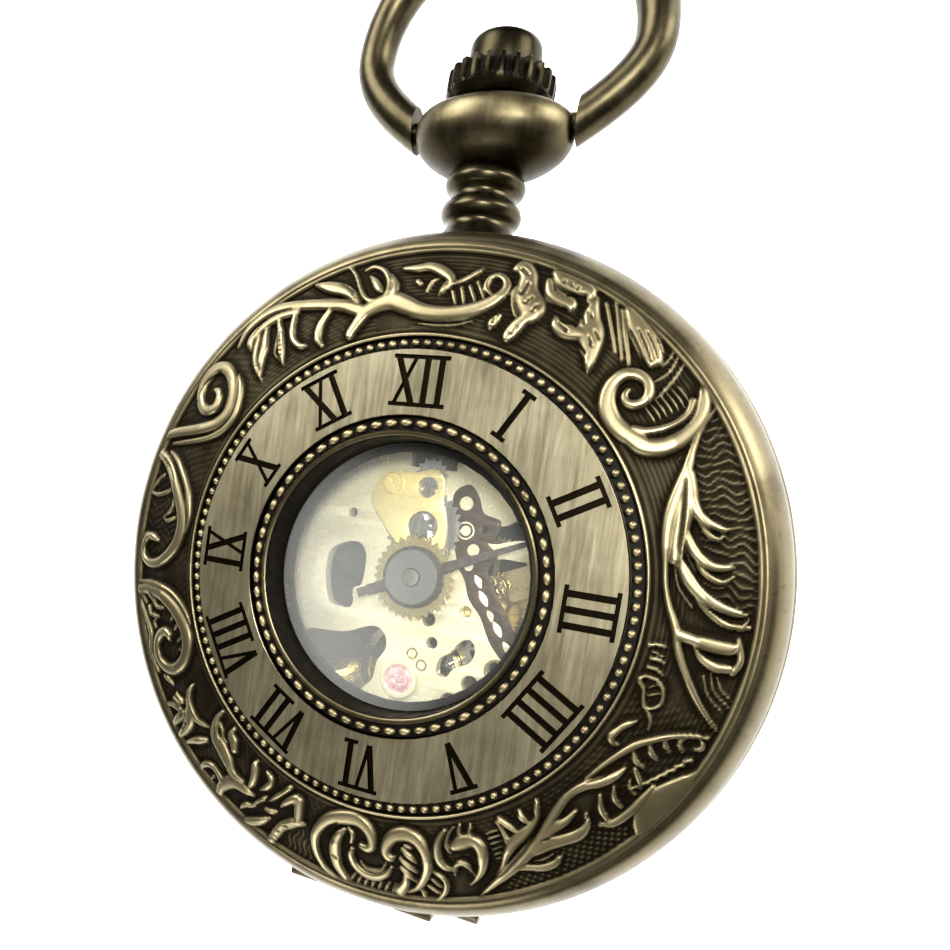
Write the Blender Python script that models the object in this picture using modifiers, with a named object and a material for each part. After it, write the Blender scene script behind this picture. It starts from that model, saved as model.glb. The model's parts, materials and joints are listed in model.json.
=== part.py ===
"""Hinged-cover skeleton pocket watch, lying on its back.

The origin is the middle of the flat back.  +Z comes out of the face, +Y points
to 12 o'clock and the crown, and +X points to 3 o'clock.  Lengths in this file
are in millimetres; MM turns them into Blender's metres.
"""

import math

import bmesh
import bpy

MM = 0.001
GAP = 0.05

# ---------------------------------------------------------------- case
CASE_R = 23.5
BAND_TOP, BAND_BOTTOM = 8.9, 4.0
BAND_BORE = 20.9
LID_R = 22.7
LID_SEAM = BAND_TOP + 0.12
FACE_Z = 13.2
WINDOW_R = 9.07
CHAPTER_IN, CHAPTER_OUT = 10.36, 14.66
ORNAMENT_R = 21.5
BACK_FLAT_R = 15.0
COVER_WALL = 0.6
CASE_STEPS = 44
RING_STEPS = 36

# ---------------------------------------------------------------- hinge at 6 o'clock
HINGE_Y, HINGE_Z, HINGE_R = -22.75, 6.45, 0.85
HINGE_PIN_R = 0.4
NOTCH_Y = -21.7
KNUCKLE_ENDS = (-8.2, -5.5, -2.7, 2.7, 5.5, 8.2)

# ---------------------------------------------------------------- pendant, bow and crown
STEM_Z = 6.0
STEM_R = 0.45
STEM_BORE_R = 0.9
PIVOT_Y = 31.5
BULB_FLATNESS = 0.67
BOW_HALF_WIDTH, BOW_HALF_HEIGHT = 9.7, 8.9
BOW_CENTRE_Y = 36.6
BOW_WIRE_R = 1.2
BOW_PIN_R = 0.7
CROWN_R, CROWN_FLUTES = 3.65, 24
CROWN_BOTTOM, CROWN_TOP = 32.75, 35.1
BUTTON_R, BUTTON_BOTTOM, BUTTON_TOP = 2.25, 34.6, 36.7

# ---------------------------------------------------------------- movement levels, from the back up
RATCHET_Z = (3.5, 3.85)
BRIDGE_Z = (4.0, 4.9)
PLATE_Z = (6.6, 7.7)
MOTION_Z = (7.75, 7.95)
MINUTE_BRIDGE_Z = (8.0, 8.15)
HOUR_WHEEL_Z = (8.2, 8.4)
HOUR_HAND_Z = (8.55, 8.68)
MINUTE_HAND_Z = (8.78, 8.92)
PLATE_R = 15.6

# ---------------------------------------------------------------- wheel train: teeth and modules
BARREL_TEETH, CENTRE_PINION_TEETH, BARREL_MODULE = 64, 8, 0.17
CENTRE_TEETH, THIRD_PINION_TEETH, CENTRE_MODULE = 64, 8, 0.14
THIRD_TEETH, FOURTH_PINION_TEETH, THIRD_MODULE = 60, 8, 0.12
FOURTH_TEETH, ESCAPE_PINION_TEETH, FOURTH_MODULE = 56, 7, 0.11
ESCAPE_TEETH, ESCAPE_R = 15, 2.3
RATCHET_TEETH, CROWN_WHEEL_TEETH, WINDING_MODULE = 40, 24, 0.2
WINDING_PINION_TEETH = 14
CANNON_TEETH, MINUTE_TEETH, MINUTE_PINION_TEETH, HOUR_TEETH = 10, 30, 8, 32
MINUTE_REACH = 3.58
MOTION_MODULE = 2 * MINUTE_REACH / (CANNON_TEETH + MINUTE_TEETH)
SETTING_TEETH = 12

# Both hands lie over each other at eleven minutes past two.
HAND_ANGLE = math.radians(90 - 65.45)

COLOURS = {
    "bronze": ((0.33, 0.27, 0.16), 0.38, 1.0),
    "dark_bronze": ((0.16, 0.13, 0.08), 0.42, 1.0),
    "gilt": ((0.80, 0.66, 0.36), 0.25, 1.0),
    "steel": ((0.55, 0.55, 0.54), 0.28, 1.0),
    "blued": ((0.16, 0.16, 0.18), 0.30, 1.0),
    "glass": ((0.85, 0.88, 0.88), 0.05, 0.0),
    "jewel": ((0.55, 0.10, 0.20), 0.10, 0.0),
    "dial": ((0.82, 0.80, 0.74), 0.45, 0.0),
}


# ---------------------------------------------------------------- scene helpers
def clear_scene():
    for obj in list(bpy.data.objects):
        bpy.data.objects.remove(obj)


def new_collection(name):
    collection = bpy.data.collections.new(name)
    bpy.context.scene.collection.children.link(collection)
    return collection


def material(name, finish):
    colour, roughness, metallic = COLOURS[finish]
    mat = bpy.data.materials.new(name)
    mat.use_nodes = True
    shader = mat.node_tree.nodes["Principled BSDF"]
    shader.inputs["Base Color"].default_value = (*colour, 1.0)
    shader.inputs["Roughness"].default_value = roughness
    shader.inputs["Metallic"].default_value = metallic
    return mat


def finish_part(obj, finish, parent=None):
    """Link a part, give it its own material, and hang it on its joint's empty."""
    for collection in list(obj.users_collection):
        collection.objects.unlink(obj)
    PARTS.objects.link(obj)
    obj.data.materials.clear()
    obj.data.materials.append(material(obj.name, finish))
    if parent is not None:
        obj.parent = parent
        obj.location = obj.location - parent.location
    return obj


def finish_cutter(obj):
    for collection in list(obj.users_collection):
        collection.objects.unlink(obj)
    CUTTERS.objects.link(obj)
    obj.hide_render = True
    obj.display_type = "WIRE"
    return obj


def joint_empty(name, x, y, z):
    """An empty on a joint's axis, which carries the pieces that move together."""
    empty = bpy.data.objects.new(name, None)
    empty.location = (x * MM, y * MM, z * MM)
    PARTS.objects.link(empty)
    return empty


# ---------------------------------------------------------------- outlines
def circle(x, y, radius, count=16):
    step = 2 * math.pi / count
    return [(x + radius * math.cos(i * step), y + radius * math.sin(i * step)) for i in range(count)]


def hull(circles, count=12):
    """The outline of a band stretched round circles given as (x, y, radius)."""
    points = sorted(set(p for c in circles for p in circle(*c, count)))

    def half(ordered):
        chain = []
        for p in ordered:
            while len(chain) > 1 and cross(chain[-2], chain[-1], p) <= 0:
                chain.pop()
            chain.append(p)
        return chain[:-1]

    return half(points) + half(points[::-1])


def cross(a, b, c):
    return (b[0] - a[0]) * (c[1] - a[1]) - (b[1] - a[1]) * (c[0] - a[0])


def polar(radius, angle, x=0.0, y=0.0):
    return (x + radius * math.cos(angle), y + radius * math.sin(angle))


def turned_by(points, angle):
    c, s = math.cos(angle), math.sin(angle)
    return [(x * c - y * s, x * s + y * c) for x, y in points]


FLAT_TOOTH = [(-0.30, "root"), (-0.10, "tip"), (0.10, "tip"), (0.30, "root")]
POINTED_TOOTH = [(-0.5, "root"), (0.0, "tip")]


def gear_outline(teeth, module, phase, flat_tops=False):
    """Tooth outline, with pointed teeth or flat-topped ones."""
    pitch = teeth * module / 2
    tip, root = pitch + 0.85 * module, pitch - 1.15 * module
    pitch_angle = 2 * math.pi / teeth
    corners = FLAT_TOOTH if flat_tops else POINTED_TOOTH
    radii = {"root": root, "tip": tip}
    return [
        polar(radii[level], phase + (i + share) * pitch_angle)
        for i in range(teeth)
        for share, level in corners
    ]


def escape_outline(teeth, tip, phase):
    pitch_angle = 2 * math.pi / teeth
    corners = [(0.0, tip), (0.10, tip), (0.30, 0.74 * tip), (0.85, 0.74 * tip)]
    return [
        polar(radius, phase + (i + share) * pitch_angle)
        for i in range(teeth)
        for share, radius in corners
    ]


def spoke_gaps(inner, outer, spokes, width, phase=0.0, arc_points=3):
    """The openings between straight-sided spokes of a wheel."""
    gaps = []
    for i in range(spokes):
        start, end = phase + 2 * math.pi * i / spokes, phase + 2 * math.pi * (i + 1) / spokes
        outline = []
        for radius, sweep in ((outer, 1), (inner, -1)):
            lean = math.asin(width / 2 / radius)
            first, last = start + lean, end - lean
            steps = [first + (last - first) * k / (arc_points - 1) for k in range(arc_points)]
            outline += [(radius * math.cos(a), radius * math.sin(a)) for a in steps[::sweep]]
        gaps.append(outline)
    return gaps


def shifted(outline, x, y):
    return [(px + x, py + y) for px, py in outline]


# ---------------------------------------------------------------- solids
def as_mesh(curve_object):
    """Turn a curve object into one welded closed mesh."""
    bpy.context.view_layer.update()
    evaluated = curve_object.evaluated_get(bpy.context.evaluated_depsgraph_get())
    mesh = bpy.data.meshes.new_from_object(evaluated)
    shape = bmesh.new()
    shape.from_mesh(mesh)
    bmesh.ops.remove_doubles(shape, verts=shape.verts, dist=1e-6)
    shape.to_mesh(mesh)
    shape.free()
    name, matrix = curve_object.name, curve_object.matrix_world.copy()
    bpy.data.objects.remove(curve_object)
    solid = bpy.data.objects.new(name, mesh)
    solid.matrix_world = matrix
    bpy.context.scene.collection.objects.link(solid)
    return solid


def plate(name, outlines, bottom, top, x=0.0, y=0.0):
    """A flat piece: the first outline is its edge and the others are its holes."""
    curve = bpy.data.curves.new(name, "CURVE")
    curve.dimensions = "2D"
    curve.fill_mode = "BOTH"
    curve.extrude = (top - bottom) / 2 * MM
    for outline in outlines:
        spline = curve.splines.new("POLY")
        spline.points.add(len(outline) - 1)
        spline.use_cyclic_u = True
        for point, (px, py) in zip(spline.points, outline):
            point.co = (px * MM, py * MM, 0.0, 1.0)
    obj = bpy.data.objects.new(name, curve)
    obj.location = (x * MM, y * MM, (top + bottom) / 2 * MM)
    bpy.context.scene.collection.objects.link(obj)
    return as_mesh(obj)


def turned(name, profile, steps=24, x=0.0, y=0.0, z=0.0, along_y=False):
    """A lathe piece.  The profile (radius, height) runs outwards from the top,
    down the outer side and back; a ring's profile closes on itself."""
    ring = profile[0][0] > 0
    mesh = bpy.data.meshes.new(name)
    verts = [(radius * MM, 0.0, height * MM) for radius, height in profile]
    edges = [(i, i + 1) for i in range(len(verts) - 1)]
    if ring:
        edges.append((len(verts) - 1, 0))
    mesh.from_pydata(verts, edges, [])
    obj = bpy.data.objects.new(name, mesh)
    bpy.context.scene.collection.objects.link(obj)
    screw = obj.modifiers.new("turn", "SCREW")
    screw.steps = steps
    screw.render_steps = steps
    screw.use_merge_vertices = True
    screw.merge_threshold = 1e-6
    screw.use_smooth_shade = True
    obj.location = (x * MM, y * MM, z * MM)
    if along_y:
        obj.rotation_euler = (-math.pi / 2, 0.0, 0.0)
    return obj


def rod(name, radius, start, end, steps=16, x=0.0, y=0.0, along="Z", z=0.0):
    """A cylinder from start to end along Z, Y or X."""
    mesh = bpy.data.meshes.new(name)
    shape = bmesh.new()
    bmesh.ops.create_cone(
        shape, cap_ends=True, segments=steps, radius1=radius * MM, radius2=radius * MM, depth=(end - start) * MM
    )
    shape.to_mesh(mesh)
    shape.free()
    obj = bpy.data.objects.new(name, mesh)
    middle = (start + end) / 2
    spots = {"Z": (x, y, middle), "Y": (x, middle, z), "X": (middle, y, z)}
    obj.location = [c * MM for c in spots[along]]
    if along == "Y":
        obj.rotation_euler = (-math.pi / 2, 0.0, 0.0)
    if along == "X":
        obj.rotation_euler = (0.0, math.pi / 2, 0.0)
    bpy.context.scene.collection.objects.link(obj)
    return obj


def block(name, low, high):
    """A box between two corners."""
    mesh = bpy.data.meshes.new(name)
    shape = bmesh.new()
    bmesh.ops.create_cube(shape, size=1.0)
    sides = [(b - a) * MM for a, b in zip(low, high)]
    bmesh.ops.scale(shape, vec=sides, verts=shape.verts)
    shape.to_mesh(mesh)
    shape.free()
    obj = bpy.data.objects.new(name, mesh)
    obj.location = [(a + b) / 2 * MM for a, b in zip(low, high)]
    bpy.context.scene.collection.objects.link(obj)
    return obj


def combine(obj, other, operation):
    modifier = obj.modifiers.new(operation.lower(), "BOOLEAN")
    modifier.operation = operation
    modifier.solver = "EXACT"
    modifier.object = finish_cutter(other)
    return obj


def wire(name, points, radii, resolution=2):
    """A round wire through points, with its own radius at each one."""
    curve = bpy.data.curves.new(name, "CURVE")
    curve.dimensions = "3D"
    curve.bevel_depth = MM
    curve.bevel_resolution = resolution
    curve.use_fill_caps = True
    spline = curve.splines.new("POLY")
    spline.points.add(len(points) - 1)
    for point, place, radius in zip(spline.points, points, radii):
        point.co = (*[c * MM for c in place], 1.0)
        point.radius = radius
    obj = bpy.data.objects.new(name, curve)
    bpy.context.scene.collection.objects.link(obj)
    return as_mesh(obj)


# ---------------------------------------------------------------- train layout
def towards(a, b):
    return math.atan2(b[1] - a[1], b[0] - a[0])


def step_from(a, distance, angle):
    return (a[0] + distance * math.cos(angle), a[1] + distance * math.sin(angle))


def two_reaches(a, reach_a, b, reach_b):
    """The point at one distance from a and another from b, on the left of a to b."""
    span = math.dist(a, b)
    along = (reach_a**2 - reach_b**2 + span**2) / (2 * span)
    across = math.sqrt(reach_a**2 - along**2)
    direction = towards(a, b)
    foot = step_from(a, along, direction)
    return step_from(foot, across, direction + math.pi / 2)


def meshed_phase(a, b, teeth_a, teeth_b, phase_a):
    """The phase that puts wheel b's gap where wheel a's tooth meets it."""
    line = towards(a, b)
    return line + math.pi + math.pi / teeth_b - (phase_a - line) * teeth_a / teeth_b


CENTRE = (0.0, 0.0)
BALANCE = (0.0, -7.4)
LEVER_ANGLE = math.radians(28)
PALLET = step_from(BALANCE, 3.25, LEVER_ANGLE)
ESCAPE = step_from(PALLET, 2.8, LEVER_ANGLE)
FOURTH = step_from(ESCAPE, (FOURTH_TEETH + ESCAPE_PINION_TEETH) * FOURTH_MODULE / 2, math.radians(35))
THIRD = two_reaches(
    CENTRE,
    (CENTRE_TEETH + THIRD_PINION_TEETH) * CENTRE_MODULE / 2,
    FOURTH,
    (THIRD_TEETH + FOURTH_PINION_TEETH) * THIRD_MODULE / 2,
)
BARREL = step_from(CENTRE, (BARREL_TEETH + CENTRE_PINION_TEETH) * BARREL_MODULE / 2, math.radians(135))
CROWN_WHEEL = (
    0.0,
    BARREL[1] + math.sqrt(((RATCHET_TEETH + CROWN_WHEEL_TEETH) * WINDING_MODULE / 2) ** 2 - BARREL[0] ** 2),
)
MINUTE = (0.0, MINUTE_REACH)
SETTING = (0.0, MINUTE_REACH + (MINUTE_TEETH + SETTING_TEETH) * MOTION_MODULE / 2)


# ---------------------------------------------------------------- case
def hinge_rod(name, radius, start, end):
    """A cylinder on the hinge's axis."""
    return rod(name, radius, start, end, 16, y=HINGE_Y, z=HINGE_Z, along="X")


def case_parts():
    band = turned(
        "case_band",
        [
            (BAND_BORE, BAND_TOP), (23.0, BAND_TOP), (23.45, 8.5), (CASE_R, 7.6), (23.25, 6.45),
            (CASE_R, 5.3), (23.45, 4.4), (23.0, BAND_BOTTOM), (BAND_BORE, BAND_BOTTOM),
        ],
        CASE_STEPS,
    )
    reach = KNUCKLE_ENDS[-1] + GAP
    notch = block("hinge_notch", (-reach, -26, BAND_BOTTOM - 1), (reach, NOTCH_Y, BAND_TOP + 1))
    combine(band, notch, "DIFFERENCE")
    combine(band, rod("band_stem_bore", STEM_BORE_R, 19, 25, z=STEM_Z, along="Y"), "DIFFERENCE")
    for side in (0, 4):
        start, end = KNUCKLE_ENDS[side] + GAP, KNUCKLE_ENDS[side + 1] - GAP
        low, high = (start, HINGE_Y, HINGE_Z - 0.6), (end, NOTCH_Y + 0.2, HINGE_Z + 0.6)
        web = block(f"case_knuckle_web_{side}", low, high)
        barrel = hinge_rod(f"case_knuckle_{side}", HINGE_R, start, end)
        combine(band, web, "UNION")
        combine(band, barrel, "UNION")
    bore = hinge_rod("hinge_pin_bore", HINGE_PIN_R + GAP, -9, 9)
    combine(band, bore, "DIFFERENCE")
    finish_part(band, "bronze")

    pin = hinge_rod("hinge_pin", HINGE_PIN_R, KNUCKLE_ENDS[0], KNUCKLE_ENDS[-1])
    finish_part(pin, "steel")

    bezel = turned(
        "front_bezel",
        [
            (19.98, 9.8), (20.8, 9.5), (20.8, 8.25), (19.5, 8.25), (19.5, 9.1), (19.98, 9.1),
        ],
        RING_STEPS,
    )
    finish_part(bezel, "gilt")
    crystal = turned("crystal", [(0, 9.65), (19.85, 9.65), (19.85, 9.15), (0, 9.15)], RING_STEPS)
    finish_part(crystal, "glass")

    back_bezel = turned(
        "back_bezel",
        [(18.9, 3.2), (20.8, 4.9), (20.8, 2.8), (20.4, 2.2), (19.5, 2.2), (19.5, 2.8), (18.9, 2.8)],
        RING_STEPS,
    )
    finish_part(back_bezel, "gilt")
    back_glass = turned("back_glass", [(0, 2.7), (19.35, 2.7), (19.35, 2.2), (0, 2.2)], RING_STEPS)
    finish_part(back_glass, "glass")

    dial = turned("dial_ring", [(12.7, 8.15), (19.8, 8.15), (19.8, 7.85), (12.7, 7.85)], RING_STEPS)
    finish_part(dial, "dial")
    holder = turned("movement_holder", [(15.75, 7.6), (20.6, 7.6), (20.6, 5.05), (15.75, 5.05)], RING_STEPS)
    combine(holder, rod("holder_stem_bore", STEM_BORE_R, 14, 22, z=STEM_Z, along="Y"), "DIFFERENCE")
    finish_part(holder, "steel")


def hinge_leaf(cover, label, gaps, rim_z):
    """Barrel pieces on a cover, each with an arm that runs into the cover's rim."""
    for gap in gaps:
        start, end = KNUCKLE_ENDS[gap] + GAP, KNUCKLE_ENDS[gap + 1] - GAP
        low, high = sorted((rim_z, HINGE_Z))
        arm = block(f"{label}_arm_{gap}", (start, HINGE_Y - 0.3, low), (end, HINGE_Y + 0.72, high))
        barrel = hinge_rod(f"{label}_knuckle_{gap}", HINGE_R, start, end)
        for piece in (arm, barrel):
            combine(cover, piece, "UNION")
    bore = hinge_rod(f"{label}_pin_bore", HINGE_PIN_R + GAP, -9, 9)
    combine(cover, bore, "DIFFERENCE")


def cover_parts():
    front_joint = joint_empty("front_cover_joint", 0, HINGE_Y, HINGE_Z)
    lid = turned(
        "front_cover",
        [
            (WINDOW_R, 13.3), (9.5, 13.3), (9.8, 13.0), (CHAPTER_IN, FACE_Z),
            (CHAPTER_OUT, FACE_Z), (15.1, 12.9), (18.6, 12.3), (ORNAMENT_R, 11.15), (22.3, 10.45),
            (LID_R, 9.8), (LID_R, LID_SEAM), (LID_R - COVER_WALL, LID_SEAM), (22.05, 9.8), (21.3, 10.5),
            (15.5, 12.2), (9.75, 12.2), (9.75, 10.4), (WINDOW_R, 10.4),
        ],
        CASE_STEPS,
    )
    hinge_leaf(lid, "front", (1, 3), LID_SEAM + 0.7)
    finish_part(lid, "bronze", front_joint)
    glass = turned(
        "window_glass", [(0, 11.15), (8.7, 11.12), (9.02, 10.9), (9.02, 10.45), (0, 10.45)], RING_STEPS
    )
    finish_part(glass, "glass", front_joint)
    ring = turned("window_ring", [(8.5, 10.35), (9.7, 10.35), (9.7, 10.12), (8.5, 10.12)], RING_STEPS)
    finish_part(ring, "bronze", front_joint)

    back_joint = joint_empty("back_cover_joint", 0, HINGE_Y, HINGE_Z)
    back = turned(
        "back_cover",
        [
            (0, 0.8), (14.5, 0.8), (21.2, 2.1), (22.1, 3.88), (LID_R, 3.88),
            (LID_R, 3.0), (21.6, 1.4), (BACK_FLAT_R, 0.0), (0, 0),
        ],
        CASE_STEPS,
    )
    hinge_leaf(back, "back", (2,), 3.2)
    finish_part(back, "bronze", back_joint)


def bow_path(count=26):
    """Half-angles from one pivot over the top to the other: an oval pinched at the pivots."""
    last = math.radians(126)
    points = []
    for i in range(count + 1):
        angle = -last + 2 * last * i / count
        pinch = 1.0 - 0.62 * max(0.0, -math.cos(angle)) ** 2
        x = BOW_HALF_WIDTH * math.sin(angle) * pinch
        points.append((x, BOW_CENTRE_Y + BOW_HALF_HEIGHT * math.cos(angle), STEM_Z))
    return points


def pendant_parts():
    neck = turned(
        "pendant",
        [
            (0, 29.6), (2.3, 29.6), (2.3, 28.3), (2.78, 27.7), (2.78, 27.1), (2.2, 26.4),
            (2.78, 25.75), (2.78, 25.15), (2.25, 24.4), (2.6, 23.6), (0, 23.6),
        ],
        24, z=STEM_Z, along_y=True,
    )
    bulb = turned(
        "pendant_bulb",
        [
            (0, 32.6), (3.9, 32.6), (5.1, 32.3), (5.55, 31.6), (5.3, 30.8),
            (4.0, 29.5), (2.4, 28.7), (0, 28.7),
        ],
        24, z=STEM_Z, along_y=True,
    )
    bulb.scale = (1.0, BULB_FLATNESS, 1.0)
    combine(neck, bulb, "UNION")
    combine(neck, rod("pendant_bore", STEM_BORE_R, 22, 34, 20, z=STEM_Z, along="Y"), "DIFFERENCE")
    for side in (-1, 1):
        ends = sorted((side * 3.0, side * 7.0))
        socket = rod(f"bow_socket_{side + 1}", BOW_PIN_R + 0.1, *ends, 16, y=PIVOT_Y, z=STEM_Z, along="X")
        combine(neck, socket, "DIFFERENCE")
    finish_part(neck, "bronze")

    bow_joint = joint_empty("bow_joint", 0, PIVOT_Y, STEM_Z)
    loop = bow_path()
    pins = [(3.2, BOW_PIN_R), (5.7, BOW_PIN_R), (5.75, BOW_WIRE_R)]
    left = [(-x, PIVOT_Y, STEM_Z) for x, _ in pins]
    right = [(x, PIVOT_Y, STEM_Z) for x, _ in reversed(pins)]
    radii = [r for _, r in pins] + [BOW_WIRE_R] * len(loop) + [r for _, r in reversed(pins)]
    bow = wire("bow", left + loop + right, radii)
    finish_part(bow, "bronze", bow_joint)


def crown_parts():
    turn_joint = joint_empty("crown_turn_joint", 0, 0, STEM_Z)
    stem = rod("winding_stem", STEM_R, 9.0, 33.6, 16, z=STEM_Z, along="Y")
    finish_part(stem, "steel", turn_joint)
    crown = turned(
        "crown",
        [
            (BUTTON_R + 0.1, CROWN_TOP), (CROWN_R - 0.35, CROWN_TOP), (CROWN_R, CROWN_TOP - 0.3),
            (CROWN_R, 33.6), (3.4, 33.2), (3.3, CROWN_BOTTOM), (STEM_R + GAP, CROWN_BOTTOM),
            (STEM_R + GAP, 33.7), (BUTTON_R + 0.1, 33.7),
        ],
        24, z=STEM_Z, along_y=True,
    )
    flutes = gear_outline(CROWN_FLUTES, 2 * CROWN_R / CROWN_FLUTES * 1.02, 0.0, flat_tops=True)
    flute_ring = plate("crown_flutes", [circle(0, 0, CROWN_R + 1, 32), flutes], 33.65, CROWN_TOP + 1)
    flute_ring.rotation_euler = (-math.pi / 2, 0.0, 0.0)
    flute_ring.location = (0.0, flute_ring.location.z, STEM_Z * MM)
    combine(crown, flute_ring, "DIFFERENCE")
    finish_part(crown, "dark_bronze", turn_joint)
    button = turned(
        "push_button",
        [
            (0, BUTTON_TOP), (1.8, BUTTON_TOP), (BUTTON_R, BUTTON_TOP - 0.35),
            (BUTTON_R, BUTTON_BOTTOM), (0, BUTTON_BOTTOM),
        ],
        24, z=STEM_Z, along_y=True,
    )
    finish_part(button, "dark_bronze", turn_joint)

    spin = gear_outline(WINDING_PINION_TEETH, WINDING_MODULE, math.pi / 2, flat_tops=True)
    for name, outline, start, end in (
        ("winding_pinion", spin, 10.95, 12.1),
        ("sliding_pinion", circle(0, 0, 1.0, 12), 9.35, 10.75),
    ):
        pinion = plate(name, [outline, circle(0, 0, STEM_R + GAP, 12)], start, end)
        pinion.rotation_euler = (-math.pi / 2, 0.0, 0.0)
        pinion.location = (0.0, pinion.location.z, STEM_Z * MM)
        finish_part(pinion, "steel", turn_joint)

    catch = block("lid_catch", (-1.2, 20.95, 9.87), (1.2, 21.6, 10.05))
    finish_part(catch, "steel")


# ---------------------------------------------------------------- movement
def screw_head(name, x, y, radius, bottom, top, slot_angle, finish="steel"):
    head = rod(name, radius, bottom, top, 16, x=x, y=y)
    slot = block(f"{name}_slot", (-radius - 0.2, -0.11, -0.1), (radius + 0.2, 0.11, 0.1))
    slot.location = (x * MM, y * MM, (top if top > 7 else bottom) * MM)
    slot.rotation_euler = (0.0, 0.0, slot_angle)
    combine(head, slot, "DIFFERENCE")
    return finish_part(head, finish)


def bridge(name, circles, holes, feet, bottom=BRIDGE_Z[0], top=BRIDGE_Z[1]):
    """A back-side bridge: a plate on pillars that reach the main plate."""
    body = plate(name, [hull(circles)] + [circle(x, y, r, 16) for x, y, r in holes], bottom, top)
    for i, (x, y, radius) in enumerate(feet):
        pillar = rod(f"{name}_pillar_{i}", radius, (bottom + top) / 2, PLATE_Z[0] - GAP, 12, x=x, y=y)
        combine(body, pillar, "UNION")
    return body


def plate_parts():
    stem_slot = [(-1.7, 9.1), (1.7, 9.1), (1.7, 13.4), (-1.7, 13.4)]
    openings = [
        circle(*CENTRE, 0.45, 16),
        circle(*BALANCE, 0.5, 12),
        hull([(-5.9, -0.6, 1.35), (-5.2, -1.2, 1.35)]),
        hull([(-4.6, -6.0, 1.1), (-2.9, -6.1, 0.9), (-4.9, -7.4, 0.7)]),
        hull([(4.3, 3.6, 1.2), (7.2, 4.3, 1.3)]),
        hull([(5.3, 0.6, 1.3), (8.3, 0.3, 1.2), (7.6, -1.4, 0.6)]),
        circle(3.9, -1.81, 0.33, 12),
        circle(1.84, -4.41, 0.33, 12),
        hull([(3.0, -5.6, 0.5), (4.2, -4.0, 0.55)]),
        circle(6.77, -4.6, 0.55, 12),
        circle(4.85, -6.64, 0.55, 12),
        stem_slot,
    ]
    main = plate("main_plate", [circle(0, 0, PLATE_R, 44)] + openings, *PLATE_Z)
    finish_part(main, "gilt")

    minute_bridge = plate(
        "minute_bridge",
        [
            hull([(-2.6, 6.3, 1.1), (0.1, 6.9, 1.1), (0.3, 3.6, 1.6), (-3.3, 4.6, 0.6)]),
            circle(0.0, 6.35, 0.62, 16),
            circle(*MINUTE, 1.05, 20),
        ],
        *MINUTE_BRIDGE_Z,
    )
    finish_part(minute_bridge, "gilt")

    barrel_feet = [(-10.6, 1.6, 0.9), (-6.6, 11.0, 0.9), (4.2, 8.6, 0.9)]
    barrel_bridge = bridge(
        "barrel_bridge",
        [(x, y, 1.2) for x, y, _ in barrel_feet] + [(*CENTRE, 1.3), (*CROWN_WHEEL, 1.8)],
        [(*BARREL, 1.3), (*CENTRE, 0.35)],
        barrel_feet,
    )
    combine(barrel_bridge, block("bridge_stem_notch", (-1.7, 10.2, 3.5), (1.7, 16, 5.5)), "DIFFERENCE")
    finish_part(barrel_bridge, "gilt")

    train_feet = [(12.2, -5.0, 0.8), (11.6, 2.9, 0.8)]
    train_bridge = bridge(
        "train_bridge",
        [(x, y, 1.1) for x, y, _ in train_feet] + [(*THIRD, 0.9), (*ESCAPE, 0.7)],
        [(*THIRD, 0.3), (*FOURTH, 0.3), (*ESCAPE, 0.3)],
        train_feet,
    )
    finish_part(train_bridge, "gilt")

    cock_foot = (-6.8, -9.4, 1.0)
    balance_cock = bridge(
        "balance_cock",
        [(-6.8, -9.4, 1.6), (*BALANCE, 1.2)],
        [(*BALANCE, 0.35)],
        [cock_foot],
        3.0,
        3.6,
    )
    finish_part(balance_cock, "gilt")

    pallet_foot = (3.6, -9.2, 0.5)
    pallet_bridge = bridge(
        "pallet_bridge",
        [(3.6, -9.2, 0.7), (*PALLET, 0.55)],
        [(*PALLET, 0.2)],
        [pallet_foot],
        4.8,
        4.93,
    )
    finish_part(pallet_bridge, "gilt")

    screw_head("minute_bridge_screw", -2.6, 6.35, 0.62, MINUTE_BRIDGE_Z[1] + GAP, 8.38, math.radians(-55))
    screw_head("barrel_bridge_screw", -10.6, 1.6, 0.8, 3.6, BRIDGE_Z[0] - GAP, 0.5)
    screw_head("train_bridge_screw", 12.2, -5.0, 0.7, 3.6, BRIDGE_Z[0] - GAP, 1.1)
    screw_head("balance_cock_screw", -6.8, -9.4, 0.8, 2.78, 3.0 - GAP, 0.2)
    jewel = turned(
        "balance_jewel",
        [
            (0, 7.98), (0.5, 8.02), (0.62, 7.9), (1.05, 7.9),
            (1.2, 8.05), (1.4, 7.95), (1.4, 7.75), (0, 7.75),
        ],
        16, x=BALANCE[0], y=BALANCE[1],
    )
    finish_part(jewel, "jewel")


def arbor(name, centre, pinion_outline, pinion_z, ends, radius, finish, parent):
    """A pinion cut in one piece with its arbor."""
    body = plate(name, [pinion_outline], *pinion_z, x=centre[0], y=centre[1])
    combine(body, rod(f"{name}_shaft", radius, *ends, 10, x=centre[0], y=centre[1]), "UNION")
    return finish_part(body, finish, parent)


def wheel(name, centre, outline, holes, z, finish, parent):
    body = plate(name, [outline] + holes, *z, x=centre[0], y=centre[1])
    return finish_part(body, finish, parent)


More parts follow.
